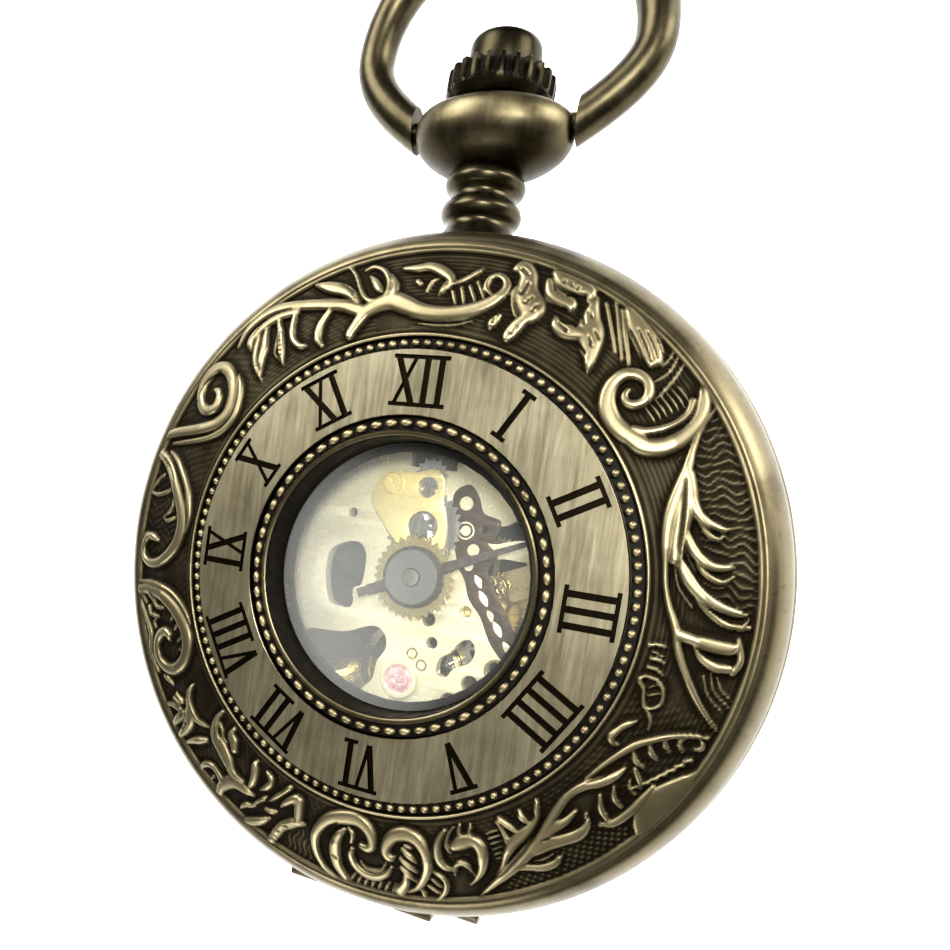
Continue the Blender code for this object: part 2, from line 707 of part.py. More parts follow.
def winding_parts():
    ratchet_phase = towards(BARREL, CROWN_WHEEL)
    barrel_joint = joint_empty("ratchet_joint", *BARREL, 0)
    wheel(
        "ratchet_wheel", BARREL, gear_outline(RATCHET_TEETH, WINDING_MODULE, ratchet_phase),
        [circle(0, 0, 0.85, 16)], RATCHET_Z, "steel", barrel_joint,
    )
    hub = turned(
        "barrel_arbor",
        [
            (0, 6.5), (0.3, 6.5), (0.3, 6.2), (1.1, 6.2), (1.1, 4.95), (0.8, 4.95), (0.8, 3.45), (1.4, 3.45),
            (1.4, 3.25), (0, 3.25),
        ],
        20, x=BARREL[0], y=BARREL[1],
    )
    finish_part(hub, "steel", barrel_joint)
    crown_phase = meshed_phase(BARREL, CROWN_WHEEL, RATCHET_TEETH, CROWN_WHEEL_TEETH, ratchet_phase)
    crown_joint = joint_empty("crown_wheel_joint", *CROWN_WHEEL, 0)
    wheel(
        "crown_wheel", CROWN_WHEEL, gear_outline(CROWN_WHEEL_TEETH, WINDING_MODULE, crown_phase),
        [circle(0, 0, 0.55, 16)], RATCHET_Z, "steel", crown_joint,
    )
    screw_head("crown_wheel_screw", *CROWN_WHEEL, 1.0, 3.2, 3.45, 0.8)

    click = plate(
        "click",
        [hull([(-9.6, 7.1, 0.55), (-8.6, 6.7, 0.22), (-8.35, 6.75, 0.08)]), circle(-9.6, 7.1, 0.22, 10)],
        *RATCHET_Z,
    )
    finish_part(click, "steel")
    spring_path = [(-9.9 + 0.35 * math.sin(t * 0.5), 8.0 + 0.32 * t, 3.68) for t in range(9)]
    finish_part(wire("click_spring", spring_path, [0.09] * 9, 0), "steel")

    barrel_phase = towards(BARREL, CENTRE)
    drum_joint = joint_empty("barrel_joint", *BARREL, 0)
    drum = wheel(
        "barrel", BARREL, gear_outline(BARREL_TEETH, BARREL_MODULE, barrel_phase),
        [circle(0, 0, 4.6, 24)], (5.0, 5.3), "gilt", drum_joint,
    )
    wall = turned(
        "barrel_wall",
        [(1.2, 6.1), (5.0, 6.1), (5.0, 5.15), (4.6, 5.15), (4.6, 5.85), (1.2, 5.85)],
        24, x=BARREL[0], y=BARREL[1],
    )
    combine(drum, wall, "UNION")
    cover = turned(
        "barrel_cover", [(1.2, 5.2), (4.55, 5.2), (4.55, 5.02), (1.2, 5.02)], 24, x=BARREL[0], y=BARREL[1]
    )
    finish_part(cover, "gilt", drum_joint)
    turns, per_turn = 3, 12
    coil = []
    for i in range(turns * per_turn + 1):
        angle = 2 * math.pi * i / per_turn
        radius = 1.4 + 2.9 * i / (turns * per_turn)
        coil.append((*polar(radius, angle, *BARREL), 5.52))
    finish_part(wire("mainspring", coil, [0.2] * len(coil), 0), "steel", drum_joint)


def train_parts():
    barrel_phase = towards(BARREL, CENTRE)
    centre_joint = joint_empty("minute_joint", *CENTRE, 0)
    centre_pinion_phase = meshed_phase(BARREL, CENTRE, BARREL_TEETH, CENTRE_PINION_TEETH, barrel_phase)
    arbor(
        "centre_pinion", CENTRE, gear_outline(CENTRE_PINION_TEETH, BARREL_MODULE, centre_pinion_phase),
        (5.0, 6.1), (4.05, 7.6), 0.3, "steel", centre_joint,
    )
    centre_phase = towards(CENTRE, THIRD)
    wheel(
        "centre_wheel", CENTRE, gear_outline(CENTRE_TEETH, CENTRE_MODULE, centre_phase),
        [circle(0, 0, 0.35, 12)] + spoke_gaps(1.1, 3.7, 4, 0.5), (6.2, 6.4), "gilt", centre_joint,
    )
    third_joint = joint_empty("third_joint", *THIRD, 0)
    phase = meshed_phase(CENTRE, THIRD, CENTRE_TEETH, THIRD_PINION_TEETH, centre_phase)
    arbor(
        "third_pinion", THIRD, gear_outline(THIRD_PINION_TEETH, CENTRE_MODULE, phase),
        (6.1, 6.5), (4.3, 6.55), 0.2, "steel", third_joint,
    )
    third_phase = towards(THIRD, FOURTH)
    wheel(
        "third_wheel", THIRD, gear_outline(THIRD_TEETH, THIRD_MODULE, third_phase),
        [circle(0, 0, 0.24, 10)] + spoke_gaps(0.9, 2.9, 4, 0.4), (5.4, 5.55), "gilt", third_joint,
    )
    fourth_joint = joint_empty("fourth_joint", *FOURTH, 0)
    phase = meshed_phase(THIRD, FOURTH, THIRD_TEETH, FOURTH_PINION_TEETH, third_phase)
    arbor(
        "fourth_pinion", FOURTH, gear_outline(FOURTH_PINION_TEETH, THIRD_MODULE, phase),
        (5.25, 5.7), (4.3, 6.55), 0.2, "steel", fourth_joint,
    )
    fourth_phase = towards(FOURTH, ESCAPE)
    wheel(
        "fourth_wheel", FOURTH, gear_outline(FOURTH_TEETH, FOURTH_MODULE, fourth_phase),
        [circle(0, 0, 0.24, 10)] + spoke_gaps(0.8, 2.5, 4, 0.35), (5.88, 6.03), "gilt", fourth_joint,
    )
    escape_joint = joint_empty("escape_joint", *ESCAPE, 0)
    phase = meshed_phase(FOURTH, ESCAPE, FOURTH_TEETH, ESCAPE_PINION_TEETH, fourth_phase)
    arbor(
        "escape_pinion", ESCAPE, gear_outline(ESCAPE_PINION_TEETH, FOURTH_MODULE, phase),
        (5.75, 6.2), (4.3, 6.55), 0.15, "steel", escape_joint,
    )
    wheel(
        "escape_wheel", ESCAPE, escape_outline(ESCAPE_TEETH, ESCAPE_R, towards(ESCAPE, PALLET)),
        [circle(0, 0, 0.19, 10)] + spoke_gaps(0.6, 1.35, 4, 0.25), (5.05, 5.2), "steel", escape_joint,
    )


def escapement_parts():
    upper = [
        (2.72, 0.12), (2.72, 0.3), (2.3, 0.24), (2.0, 0.11), (0.42, 0.13), (0.3, 0.5),
        (-0.1, 1.4), (-0.5, 1.5), (-0.68, 1.32), (-0.42, 1.05), (-0.2, 0.35),
    ]
    outline = [(x, -y) for x, y in upper] + [(x, y) for x, y in reversed(upper)]
    placed = turned_by(outline, LEVER_ANGLE + math.pi)
    pallet_joint = joint_empty("pallet_joint", *PALLET, 0)
    fork = plate("pallet_fork", [placed], 5.05, 5.2, x=PALLET[0], y=PALLET[1])
    combine(fork, rod("pallet_arbor", 0.14, 4.98, 6.5, 10, x=PALLET[0], y=PALLET[1]), "UNION")
    finish_part(fork, "steel", pallet_joint)

    balance_joint = joint_empty("balance_joint", *BALANCE, 0)
    gaps = spoke_gaps(0.9, 3.85, 2, 0.6, LEVER_ANGLE + math.pi / 2, arc_points=9)
    holes = [circle(0, 0, 0.25, 10)] + gaps
    wheel("balance_wheel", BALANCE, circle(0, 0, 4.4, 32), holes, (4.15, 4.6), "gilt", balance_joint)
    staff = turned(
        "balance_staff",
        [
            (0, 7.6), (0.1, 7.6), (0.1, 6.0), (0.2, 5.3), (0.35, 5.3), (0.35, 5.0),
            (0.2, 4.9), (0.2, 3.9), (0.1, 3.7), (0.1, 3.2), (0, 3.2),
        ],
        12, x=BALANCE[0], y=BALANCE[1],
    )
    finish_part(staff, "steel", balance_joint)
    turns, per_turn = 4, 10
    coil = []
    for i in range(turns * per_turn + 1):
        angle = 2 * math.pi * i / per_turn
        radius = 0.55 + 2.3 * i / (turns * per_turn)
        coil.append((*polar(radius, angle, *BALANCE), 3.85))
    finish_part(wire("hairspring", coil, [0.06] * len(coil), 0), "blued")


# ---------------------------------------------------------------- dial side
def hand(name, outline, holes, z, parent):
    return finish_part(plate(name, [turned_by(outline, HAND_ANGLE)] + holes, *z), "blued", parent)


def hand_outline(hub, tail, reach, root_half, tip_half):
    """A hub with a stub tail and a tapering blade, pointing along +X."""
    blade = math.asin(root_half / hub)
    arc = [blade + (math.pi - 2 * blade) * i / 10 for i in range(11)]
    upper = [polar(hub, a) for a in arc]
    lower = [(x, -y) for x, y in reversed(upper)]
    return [(reach, -tip_half), (reach, tip_half)] + upper + [(-tail, root_half), (-tail, -root_half)] + lower


def motion_parts():
    centre_joint = bpy.data.objects["minute_joint"]
    cannon_phase = towards(CENTRE, MINUTE)
    minute_phase = meshed_phase(CENTRE, MINUTE, CANNON_TEETH, MINUTE_TEETH, cannon_phase)
    cannon_teeth = gear_outline(CANNON_TEETH, MOTION_MODULE, cannon_phase)
    cannon = plate("cannon_pinion", [cannon_teeth], *MOTION_Z)
    combine(cannon, rod("cannon_pipe", 0.6, MOTION_Z[0] + 0.05, 9.0, 16), "UNION")
    finish_part(cannon, "steel", centre_joint)
    hand(
        "minute_hand", hand_outline(1.9, 4.2, 12.6, 0.32, 0.08), [circle(0, 0, 0.65, 16)],
        MINUTE_HAND_Z, centre_joint,
    )

    hour_joint = joint_empty("hour_joint", *CENTRE, 0)
    minute_pinion_phase = towards(MINUTE, CENTRE)
    hour_phase = meshed_phase(MINUTE, CENTRE, MINUTE_PINION_TEETH, HOUR_TEETH, minute_pinion_phase)
    hour_teeth = gear_outline(HOUR_TEETH, MOTION_MODULE, hour_phase)
    hour = plate("hour_wheel", [hour_teeth, circle(0, 0, 0.7, 16)], *HOUR_WHEEL_Z)
    pipe = turned("hour_pipe", [(0.7, 8.72), (0.95, 8.72), (0.95, 8.3), (0.7, 8.3)], 16)
    combine(hour, pipe, "UNION")
    finish_part(hour, "gilt", hour_joint)
    hand("hour_hand", hand_outline(2.2, 3.5, 8.6, 0.4, 0.1), [circle(0, 0, 1.0, 16)], HOUR_HAND_Z, hour_joint)

    minute_joint = joint_empty("minute_wheel_joint", *MINUTE, 0)
    teeth = gear_outline(MINUTE_TEETH, MOTION_MODULE, minute_phase)
    wheel_body = plate("minute_wheel", [teeth], *MOTION_Z, x=MINUTE[0], y=MINUTE[1])
    leaf_outline = gear_outline(MINUTE_PINION_TEETH, MOTION_MODULE, minute_pinion_phase)
    leaves = plate(
        "minute_wheel_pinion", [leaf_outline], MOTION_Z[0] + 0.1, 8.42, x=MINUTE[0], y=MINUTE[1]
    )
    combine(wheel_body, leaves, "UNION")
    finish_part(wheel_body, "steel", minute_joint)

    setting_joint = joint_empty("setting_joint", *SETTING, 0)
    setting_phase = meshed_phase(MINUTE, SETTING, MINUTE_TEETH, SETTING_TEETH, minute_phase)
    wheel(
        "setting_wheel", SETTING, gear_outline(SETTING_TEETH, MOTION_MODULE, setting_phase),
        [circle(0, 0, 0.3, 10)], MOTION_Z, "steel", setting_joint,
    )


clear_scene()
PARTS = new_collection("pocket_watch")
CUTTERS = new_collection("cutters")
case_parts()
cover_parts()
pendant_parts()
crown_parts()
plate_parts()
winding_parts()
train_parts()
escapement_parts()
motion_parts()
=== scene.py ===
"""Looks of a half-hunter pocket watch: an embossed bronze lid over a gilt skeleton movement."""

import json
import math

import bmesh
import bpy
import numpy as np
from mathutils import Matrix, Vector


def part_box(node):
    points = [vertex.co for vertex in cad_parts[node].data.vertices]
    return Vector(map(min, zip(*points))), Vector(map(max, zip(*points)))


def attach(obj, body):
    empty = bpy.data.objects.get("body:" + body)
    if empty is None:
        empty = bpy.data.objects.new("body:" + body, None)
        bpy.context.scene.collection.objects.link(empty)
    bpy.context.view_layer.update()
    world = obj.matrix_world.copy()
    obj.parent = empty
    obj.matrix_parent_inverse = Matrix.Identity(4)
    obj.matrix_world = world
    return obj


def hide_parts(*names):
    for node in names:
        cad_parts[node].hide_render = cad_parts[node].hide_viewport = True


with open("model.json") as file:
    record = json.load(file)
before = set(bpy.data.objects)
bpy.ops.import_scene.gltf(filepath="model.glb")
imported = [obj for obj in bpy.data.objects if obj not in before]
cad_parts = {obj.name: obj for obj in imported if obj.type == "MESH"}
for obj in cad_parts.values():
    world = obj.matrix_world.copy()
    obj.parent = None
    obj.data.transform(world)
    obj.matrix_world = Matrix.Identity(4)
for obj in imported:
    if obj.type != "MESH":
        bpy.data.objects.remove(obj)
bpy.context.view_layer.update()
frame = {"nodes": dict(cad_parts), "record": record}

MM = 0.001
FULL_TURN = 2 * math.pi
QUARTER_TURN = math.pi / 2
SHARP = 32.0

# ---------------------------------------------------------------- sizes, in millimetres
CASE_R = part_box("case_band")[1][0] / MM
LID_R = 23.22
LID_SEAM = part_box("case_band")[1][2] / MM + 0.12
FACE_Z = 13.2
STEM_Z = 6.0
WINDOW_R = 9.07
CHAPTER_IN, CHAPTER_OUT = 10.4, 14.64
RELIEF_IN, RELIEF_OUT = 15.45, 21.5
HINGE_Y, HINGE_Z, HINGE_R = -22.75, 6.45, 0.85
HINGE_FLAT_Y = -22.65
KNUCKLE_ENDS = (-8.2, -5.5, -2.7, 2.7, 5.5, 8.2)
KNUCKLE_GAP, HINGE_BORE, SOFT_EDGE = 0.05, 0.42, 0.12
PIVOT_Y = 31.5
BOW_CENTRE_Y, BOW_HALF_WIDTH, BOW_HALF_HEIGHT, BOW_WIRE_R = 36.6, 9.75, 8.85, 1.32
BOW_REACH, BOW_PINCH, BOW_STEPS = 129, 0.92, 72
BOW_END = 5.74
BULB_FLATNESS = 0.72


# ---------------------------------------------------------------- camera, floor and light
CAMERA_SPOT, CAMERA_NEAR = (17.6, 3.31, 60.39), 1.0
CAMERA_RIGHT, CAMERA_BACK = (0.9016, 0.1467, -0.4069), (0.3978, 0.0881, 0.9132)
CAMERA_LENS, CAMERA_SENSOR, CAMERA_SHIFT = 29.61, 36.0, (0.137, 0.120)


def add_camera():
    data = bpy.data.cameras.new("camera")
    data.lens = CAMERA_LENS
    data.sensor_width = CAMERA_SENSOR
    data.shift_x, data.shift_y = CAMERA_SHIFT
    data.clip_start = CAMERA_NEAR * MM
    camera = bpy.data.objects.new("camera", data)
    right = Vector(CAMERA_RIGHT).normalized()
    back = Vector(CAMERA_BACK).normalized()
    turn = Matrix((right, back.cross(right), back)).transposed().to_4x4()
    camera.matrix_world = Matrix.Translation(Vector(CAMERA_SPOT) * MM) @ turn
    bpy.context.scene.collection.objects.link(camera)
    bpy.context.scene.camera = camera


# Each softbox has a name, a place and a size in millimetres, and a power in watts.
SOFTBOXES = [
    ("key_softbox", (-150, 150, 170), (160, 120), 0.75),
    ("side_softbox", (170, 120, 60), (70, 110), 0.34),
    ("window_softbox", (70, 50, 200), (60, 60), 0.4),
    ("low_softbox", (-40, -190, 110), (150, 60), 0.22),
]
SOFTBOX_AIM = (0, 0, 8)


def add_softbox(name, place, size, power):
    data = bpy.data.lights.new(name, "AREA")
    data.shape = "RECTANGLE"
    data.size, data.size_y = size[0] * MM, size[1] * MM
    data.energy = power
    light = bpy.data.objects.new(name, data)
    towards = (Vector(SOFTBOX_AIM) - Vector(place)).normalized()
    turn = towards.to_track_quat("-Z", "Y").to_matrix().to_4x4()
    light.matrix_world = Matrix.Translation(Vector(place) * MM) @ turn
    bpy.context.scene.collection.objects.link(light)


# The room is dark below the horizon and pale overhead.
ROOM_LOW, ROOM_HIGH = (0.06, 0.055, 0.05, 1), (0.62, 0.62, 0.60, 1)
ROOM_STRENGTH = 0.6
FLOOR_RADIUS_M, FLOOR_WHITE, FLOOR_GLOW = 1.2, (0.93, 0.93, 0.93, 1), 0.85


def add_room():
    world = bpy.data.worlds.new("studio")
    bpy.context.scene.world = world
    world.use_nodes = True
    tree = world.node_tree
    tree.nodes.clear()
    place = tree.nodes.new("ShaderNodeTexCoord")
    split = tree.nodes.new("ShaderNodeSeparateXYZ")
    ramp = tree.nodes.new("ShaderNodeValToRGB")
    low, high = ramp.color_ramp.elements
    low.position, low.color = 0.05, ROOM_LOW
    high.position, high.color = 0.95, ROOM_HIGH
    glow = tree.nodes.new("ShaderNodeBackground")
    glow.inputs["Strength"].default_value = ROOM_STRENGTH
    out = tree.nodes.new("ShaderNodeOutputWorld")
    tree.links.new(place.outputs["Generated"], split.inputs[0])
    tree.links.new(split.outputs["Z"], ramp.inputs["Fac"])
    tree.links.new(ramp.outputs["Color"], glow.inputs["Color"])
    tree.links.new(glow.outputs[0], out.inputs["Surface"])
    bpy.context.scene.view_settings.view_transform = "Standard"
    bpy.context.scene.view_settings.look = "Medium High Contrast"


def add_floor():
    shape = bmesh.new()
    bmesh.ops.create_circle(shape, cap_ends=True, segments=64, radius=FLOOR_RADIUS_M)
    mesh = bpy.data.meshes.new("floor")
    shape.to_mesh(mesh)
    shape.free()
    floor = bpy.data.objects.new("floor", mesh)
    bpy.context.scene.collection.objects.link(floor)
    finish = bpy.data.materials.new("pale_paper")
    finish.use_nodes = True
    shader = finish.node_tree.nodes["Principled BSDF"]
    shader.inputs["Base Color"].default_value = FLOOR_WHITE
    shader.inputs["Roughness"].default_value = 0.8
    shader.inputs["Specular IOR Level"].default_value = 0.1
    shader.inputs["Emission Color"].default_value = (1, 1, 1, 1)
    shader.inputs["Emission Strength"].default_value = FLOOR_GLOW
    mesh.materials.append(finish)


# ---------------------------------------------------------------- finishes
class Finish:
    """A material under construction, with short calls for its nodes."""

    def __init__(self, name, metallic=1.0, roughness=0.35, colour=(0.5, 0.5, 0.5)):
        self.material = bpy.data.materials.new(name)
        self.material.use_nodes = True
        self.tree = self.material.node_tree
        self.shader = self.tree.nodes["Principled BSDF"]
        self.shader.inputs["Metallic"].default_value = metallic
        self.shader.inputs["Roughness"].default_value = roughness
        self.shader.inputs["Base Color"].default_value = (*colour, 1)
        place = self.tree.nodes.new("ShaderNodeTexCoord")
        self.place = place.outputs["Object"]
        self.normal = None

    def node(self, kind, **values):
        new = self.tree.nodes.new(kind)
        for key, value in values.items():
            setattr(new, key, value)
        return new

    def join(self, source, target):
        self.tree.links.new(source, target)

    def math(self, operation, a, b=None, clamp=False):
        new = self.node("ShaderNodeMath", operation=operation, use_clamp=clamp)
        for slot, value in zip(new.inputs, (a, b)):
            if value is None:
                continue
            if isinstance(value, (int, float)):
                slot.default_value = value
            else:
                self.join(value, slot)
        return new.outputs[0]

    def stretched(self, sx, sy, sz):
        mapping = self.node("ShaderNodeMapping")
        mapping.inputs["Scale"].default_value = (sx, sy, sz)
        self.join(self.place, mapping.inputs["Vector"])
        return mapping.outputs[0]

    def noise(self, vector, scale, detail=3.0, roughness=0.6):
        new = self.node("ShaderNodeTexNoise")
        new.inputs["Scale"].default_value = scale
        new.inputs["Detail"].default_value = detail
        new.inputs["Roughness"].default_value = roughness
        self.join(vector, new.inputs["Vector"])
        return new.outputs["Fac"]

    def ramp(self, value, stops):
        new = self.node("ShaderNodeValToRGB")
        bar = new.color_ramp
        while len(bar.elements) < len(stops):
            bar.elements.new(0.5)
        for element, (position, colour) in zip(bar.elements, stops):
            element.position = position
            element.color = (*colour, 1)
        self.join(value, new.inputs["Fac"])
        return new.outputs["Color"]

    def grey_ramp(self, value, stops):
        return self.ramp(value, [(p, (v, v, v)) for p, v in stops])

    def mix(self, share, a, b, blend="MIX"):
        """Mixes two colours; a Mix node's colour sockets are inputs 6 and 7 and output 2."""
        new = self.node("ShaderNodeMix", data_type="RGBA", blend_type=blend)
        for slot, value in ((new.inputs[0], share), (new.inputs[6], a), (new.inputs[7], b)):
            if isinstance(value, (int, float)):
                slot.default_value = value
            elif isinstance(value, tuple):
                slot.default_value = (*value, 1)
            else:
                self.join(value, slot)
        return new.outputs[2]

    def colour(self, value):
        self.join(value, self.shader.inputs["Base Color"])

    def rough(self, value):
        self.join(value, self.shader.inputs["Roughness"])

    def bump(self, value, strength, distance_mm):
        new = self.node("ShaderNodeBump")
        new.inputs["Strength"].default_value = strength
        new.inputs["Distance"].default_value = distance_mm * MM
        self.join(value, new.inputs["Height"])
        if self.normal is not None:
            self.join(self.normal, new.inputs["Normal"])
        self.normal = new.outputs["Normal"]
        self.join(self.normal, self.shader.inputs["Normal"])

    def axes(self):
        """The three Object coordinates."""
        split = self.node("ShaderNodeSeparateXYZ")
        self.join(self.place, split.inputs[0])
        return split.outputs

    def radius_and_height(self):
        """Distance from the upright axis and height, for turned brushing."""
        x, y, z = self.axes()
        squares = self.math("ADD", self.math("MULTIPLY", x, x), self.math("MULTIPLY", y, y))
        return self.math("SQRT", squares), z

    def turned_vector(self):
        radius, height = self.radius_and_height()
        join = self.node("ShaderNodeCombineXYZ")
        self.join(radius, join.inputs[0])
        self.join(height, join.inputs[1])
        return join.outputs[0]


BRONZE_DARK = (0.016, 0.012, 0.007)
BRONZE_DEEP = (0.10, 0.082, 0.048)
BRONZE = (0.255, 0.214, 0.125)
# BRONZE_LIT, on the relief's proud crests, is partly rubbed bronze and partly a painted highlight.
BRONZE_LIT = (0.37, 0.32, 0.20)


def brushed_bronze(name, tone, grain=None, roughness=0.34, painted_shade_below=None):
    """Antiqued bronze with cloudy patina, brushed in rings, or along the grain where it is given.

    grain is the pattern's scale along X, Y and Z, smallest along the brushing. The last argument, where given, is
    the pair of heights in Y, in millimetres, between which a painted shade on the lower part fades out.
    """
    f = Finish(name, 1.0, roughness)
    if grain is None:
        lines = f.noise(f.turned_vector(), 9000.0, 4.0, 0.7)
    else:
        lines = f.noise(f.stretched(*grain), 1.0, 4.0, 0.7)
    clouds = f.noise(f.place, 190.0, 5.0, 0.65)
    specks = f.noise(f.place, 1700.0, 2.0, 0.5)
    deep = tuple(c * tone for c in BRONZE_DEEP)
    middle = tuple(c * tone for c in BRONZE)
    pale = tuple(min(1.0, c * tone * 1.25) for c in BRONZE)
    patina = f.ramp(clouds, [(0.28, deep), (0.52, middle), (0.80, pale)])
    streaked = f.mix(0.35, patina, f.grey_ramp(lines, [(0.3, 0.25), (0.7, 1.0)]), "MULTIPLY")
    antique_and_shade = f.mix(f.grey_ramp(specks, [(0.62, 0.0), (0.75, 0.35)]), streaked, BRONZE_DARK)
    # Painted shade: the colour is darkened towards the bottom, below the given heights in Y.
    if painted_shade_below is not None:
        start, end = painted_shade_below
        above = f.math("SUBTRACT", f.axes()["Y"], start * MM)
        rise = f.math("MULTIPLY", above, 1.0 / ((end - start) * MM))
        antique_and_shade = f.mix(f.grey_ramp(rise, [(0.0, 0.80), (1.0, 0.0)]), antique_and_shade, BRONZE_DARK)
    f.colour(antique_and_shade)
    f.rough(f.grey_ramp(lines, [(0.2, roughness - 0.08), (0.8, roughness + 0.12)]))
    f.bump(lines, 0.25, 0.02)
    return f.material


def embossed_bronze():
    """The lid's relief: bright on what stands proud, black in what lies deep, from black patina and rubbed crests
    together with painted shade in the hollows and a painted highlight on the crests.
    """
    f = Finish("embossed_bronze", 1.0, 0.36)
    worn_and_shaded = f.node("ShaderNodeAttribute", attribute_name="worn_and_shaded").outputs["Fac"]
    clouds = f.noise(f.place, 420.0, 4.0, 0.6)
    grain = f.noise(f.place, 2600.0, 3.0, 0.6)
    level = f.math("ADD", worn_and_shaded, f.math("MULTIPLY", f.math("SUBTRACT", clouds, 0.5), 0.35))
    hollow, slope = (0.060, 0.050, 0.030), (0.19, 0.16, 0.092)
    # Painted shade and highlight: the ramp runs from black in the hollows to BRONZE_LIT on the crests, over real
    # patina and rubbing.
    f.colour(f.ramp(level, [(0.20, BRONZE_DARK), (0.42, hollow), (0.68, slope), (1.0, BRONZE_LIT)]))
    f.rough(f.grey_ramp(level, [(0.25, 0.62), (0.8, 0.40)]))
    f.bump(grain, 0.12, 0.03)
    return f.material


def chapter_bronze():
    """Pale bronze with straight brushing, and black where the numerals are cut in."""
    f = Finish("chapter_bronze", 1.0, 0.32)
    streaks = f.noise(f.stretched(2600, 170, 1), 1.0, 4.0, 0.7)
    scratches = f.noise(f.stretched(5200, 420, 1), 1.0, 2.0, 0.5)
    clouds = f.noise(f.place, 210.0, 4.0, 0.6)
    dull, middle, bright = (0.27, 0.235, 0.15), (0.39, 0.345, 0.23), (0.48, 0.43, 0.295)
    base = f.ramp(clouds, [(0.25, dull), (0.55, middle), (0.8, bright)])
    streaked = f.mix(0.45, base, f.grey_ramp(streaks, [(0.25, 0.45), (0.75, 1.0)]), "MULTIPLY")
    depth = f.math("SUBTRACT", (FACE_Z - 0.03) * MM, f.axes()["Z"])
    sunk = f.math("MULTIPLY", depth, 60000.0, clamp=True)
    f.colour(f.mix(sunk, streaked, BRONZE_DARK))
    f.rough(f.grey_ramp(streaks, [(0.2, 0.26), (0.8, 0.42)]))
    f.bump(scratches, 0.2, 0.02)
    return f.material


def patina_and_painted_shade():
    """Black oxide left in the recesses, also laid as black painted shade on the window's wall, in the crown's
    flutes and round the movement.
    """
    f = Finish("patina_and_painted_shade", 0.0, 0.5)
    f.shader.inputs["Specular IOR Level"].default_value = 0.12
    grain = f.noise(f.place, 1400.0, 3.0)
    f.colour(f.ramp(grain, [(0.3, (0.004, 0.003, 0.002)), (0.75, (0.014, 0.011, 0.007))]))
    f.bump(grain, 0.3, 0.03)
    return f.material


def gilt_plate(name, dark, light, metallic):
    """Fine-grained gilt brass."""
    f = Finish(name, metallic, 0.30)
    grain = f.noise(f.place, 3800.0, 3.0)
    clouds = f.noise(f.place, 260.0, 2.0)
    f.colour(f.ramp(clouds, [(0.3, dark), (0.7, light)]))
    f.rough(f.grey_ramp(grain, [(0.3, 0.16), (0.7, 0.30)]))
    f.bump(grain, 0.10, 0.01)
    return f.material


def polished_steel(name, colour, roughness):
    f = Finish(name, 1.0, roughness)
    lines = f.noise(f.stretched(2500, 300, 300), 1.0, 3.0)
    f.colour(f.mix(0.3, colour, f.grey_ramp(lines, [(0.3, 0.35), (0.7, 1.0)]), "MULTIPLY"))
    f.rough(f.grey_ramp(lines, [(0.3, roughness - 0.05), (0.7, roughness + 0.12)]))
    f.bump(lines, 0.1, 0.01)
    return f.material


def lacquer(name, dark, light, hub=None):
    """Thin coloured lacquer, with another colour near the hands' axis where hub is given."""
    f = Finish(name, 0.35, 0.38)
    f.shader.inputs["Specular IOR Level"].default_value = 0.3
    grain = f.noise(f.place, 2500.0, 2.0)
    paint = f.ramp(grain, [(0.3, dark), (0.7, light)])
    if hub is not None:
        radius, _ = f.radius_and_height()
        reach = f.math("MULTIPLY", radius, 200.0)
        paint = f.mix(f.grey_ramp(reach, [(0.37, 1.0), (0.40, 0.0)]), paint, hub)
    f.colour(paint)
    f.bump(grain, 0.08, 0.01)
    return f.material


def ruby_jewel():
    f = Finish("ruby_jewel", 0.2, 0.18)
    grain = f.noise(f.place, 1800.0, 3.0)
    f.colour(f.ramp(grain, [(0.35, (0.55, 0.30, 0.33)), (0.65, (0.82, 0.62, 0.62))]))
    f.bump(grain, 0.15, 0.03)
    return f.material


def enamel():
    f = Finish("cream_enamel", 0.0, 0.3)
    grain = f.noise(f.place, 900.0, 3.0)
    f.colour(f.ramp(grain, [(0.3, (0.70, 0.68, 0.60)), (0.7, (0.80, 0.78, 0.71))]))
    f.bump(grain, 0.05, 0.02)
    return f.material


def clear_glass(name, haze_stops):
    """Clear glass that mirrors the room at its edge, with a breath of haze towards one side."""
    f = Finish(name, 0.0, 0.06, (0.80, 0.81, 0.78))
    see_through = f.node("ShaderNodeBsdfTransparent")
    see_through.inputs["Color"].default_value = (1.0, 1.0, 0.99, 1)
    edge = f.node("ShaderNodeLayerWeight")
    edge.inputs["Blend"].default_value = 0.5
    x, y, _ = f.axes()
    across = f.math("ADD", x, f.math("MULTIPLY", y, 0.45))
    share = f.math("ADD", f.math("MULTIPLY", across, 50.0), 0.5)
    haze = f.grey_ramp(share, haze_stops)
    glare = f.math("MULTIPLY", f.math("POWER", edge.outputs["Facing"], 4.0), 0.5)
    cover = f.math("ADD", f.math("ADD", glare, 0.03), haze, clamp=True)
    blend = f.node("ShaderNodeMixShader")
    f.join(cover, blend.inputs[0])
    f.join(see_through.outputs[0], blend.inputs[1])
    f.join(f.shader.outputs[0], blend.inputs[2])
    f.join(blend.outputs[0], f.tree.nodes["Material Output"].inputs["Surface"])
    return f.material


# ---------------------------------------------------------------- making pieces
def finish_piece(shape, name, body, materials, sharp=SHARP, replaces=()):
    """Turns a finished bmesh into a piece that rides on a body."""
    mesh = bpy.data.meshes.new(name)
    shape.to_mesh(mesh)
    shape.free()
    for material in materials:
        mesh.materials.append(material)
    mesh.shade_smooth()
    mesh.set_sharp_from_angle(angle=math.radians(sharp))
    piece = bpy.data.objects.new(name, mesh)
    bpy.context.scene.collection.objects.link(piece)
    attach(piece, body)
    if replaces:
        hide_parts(*replaces)
    return piece


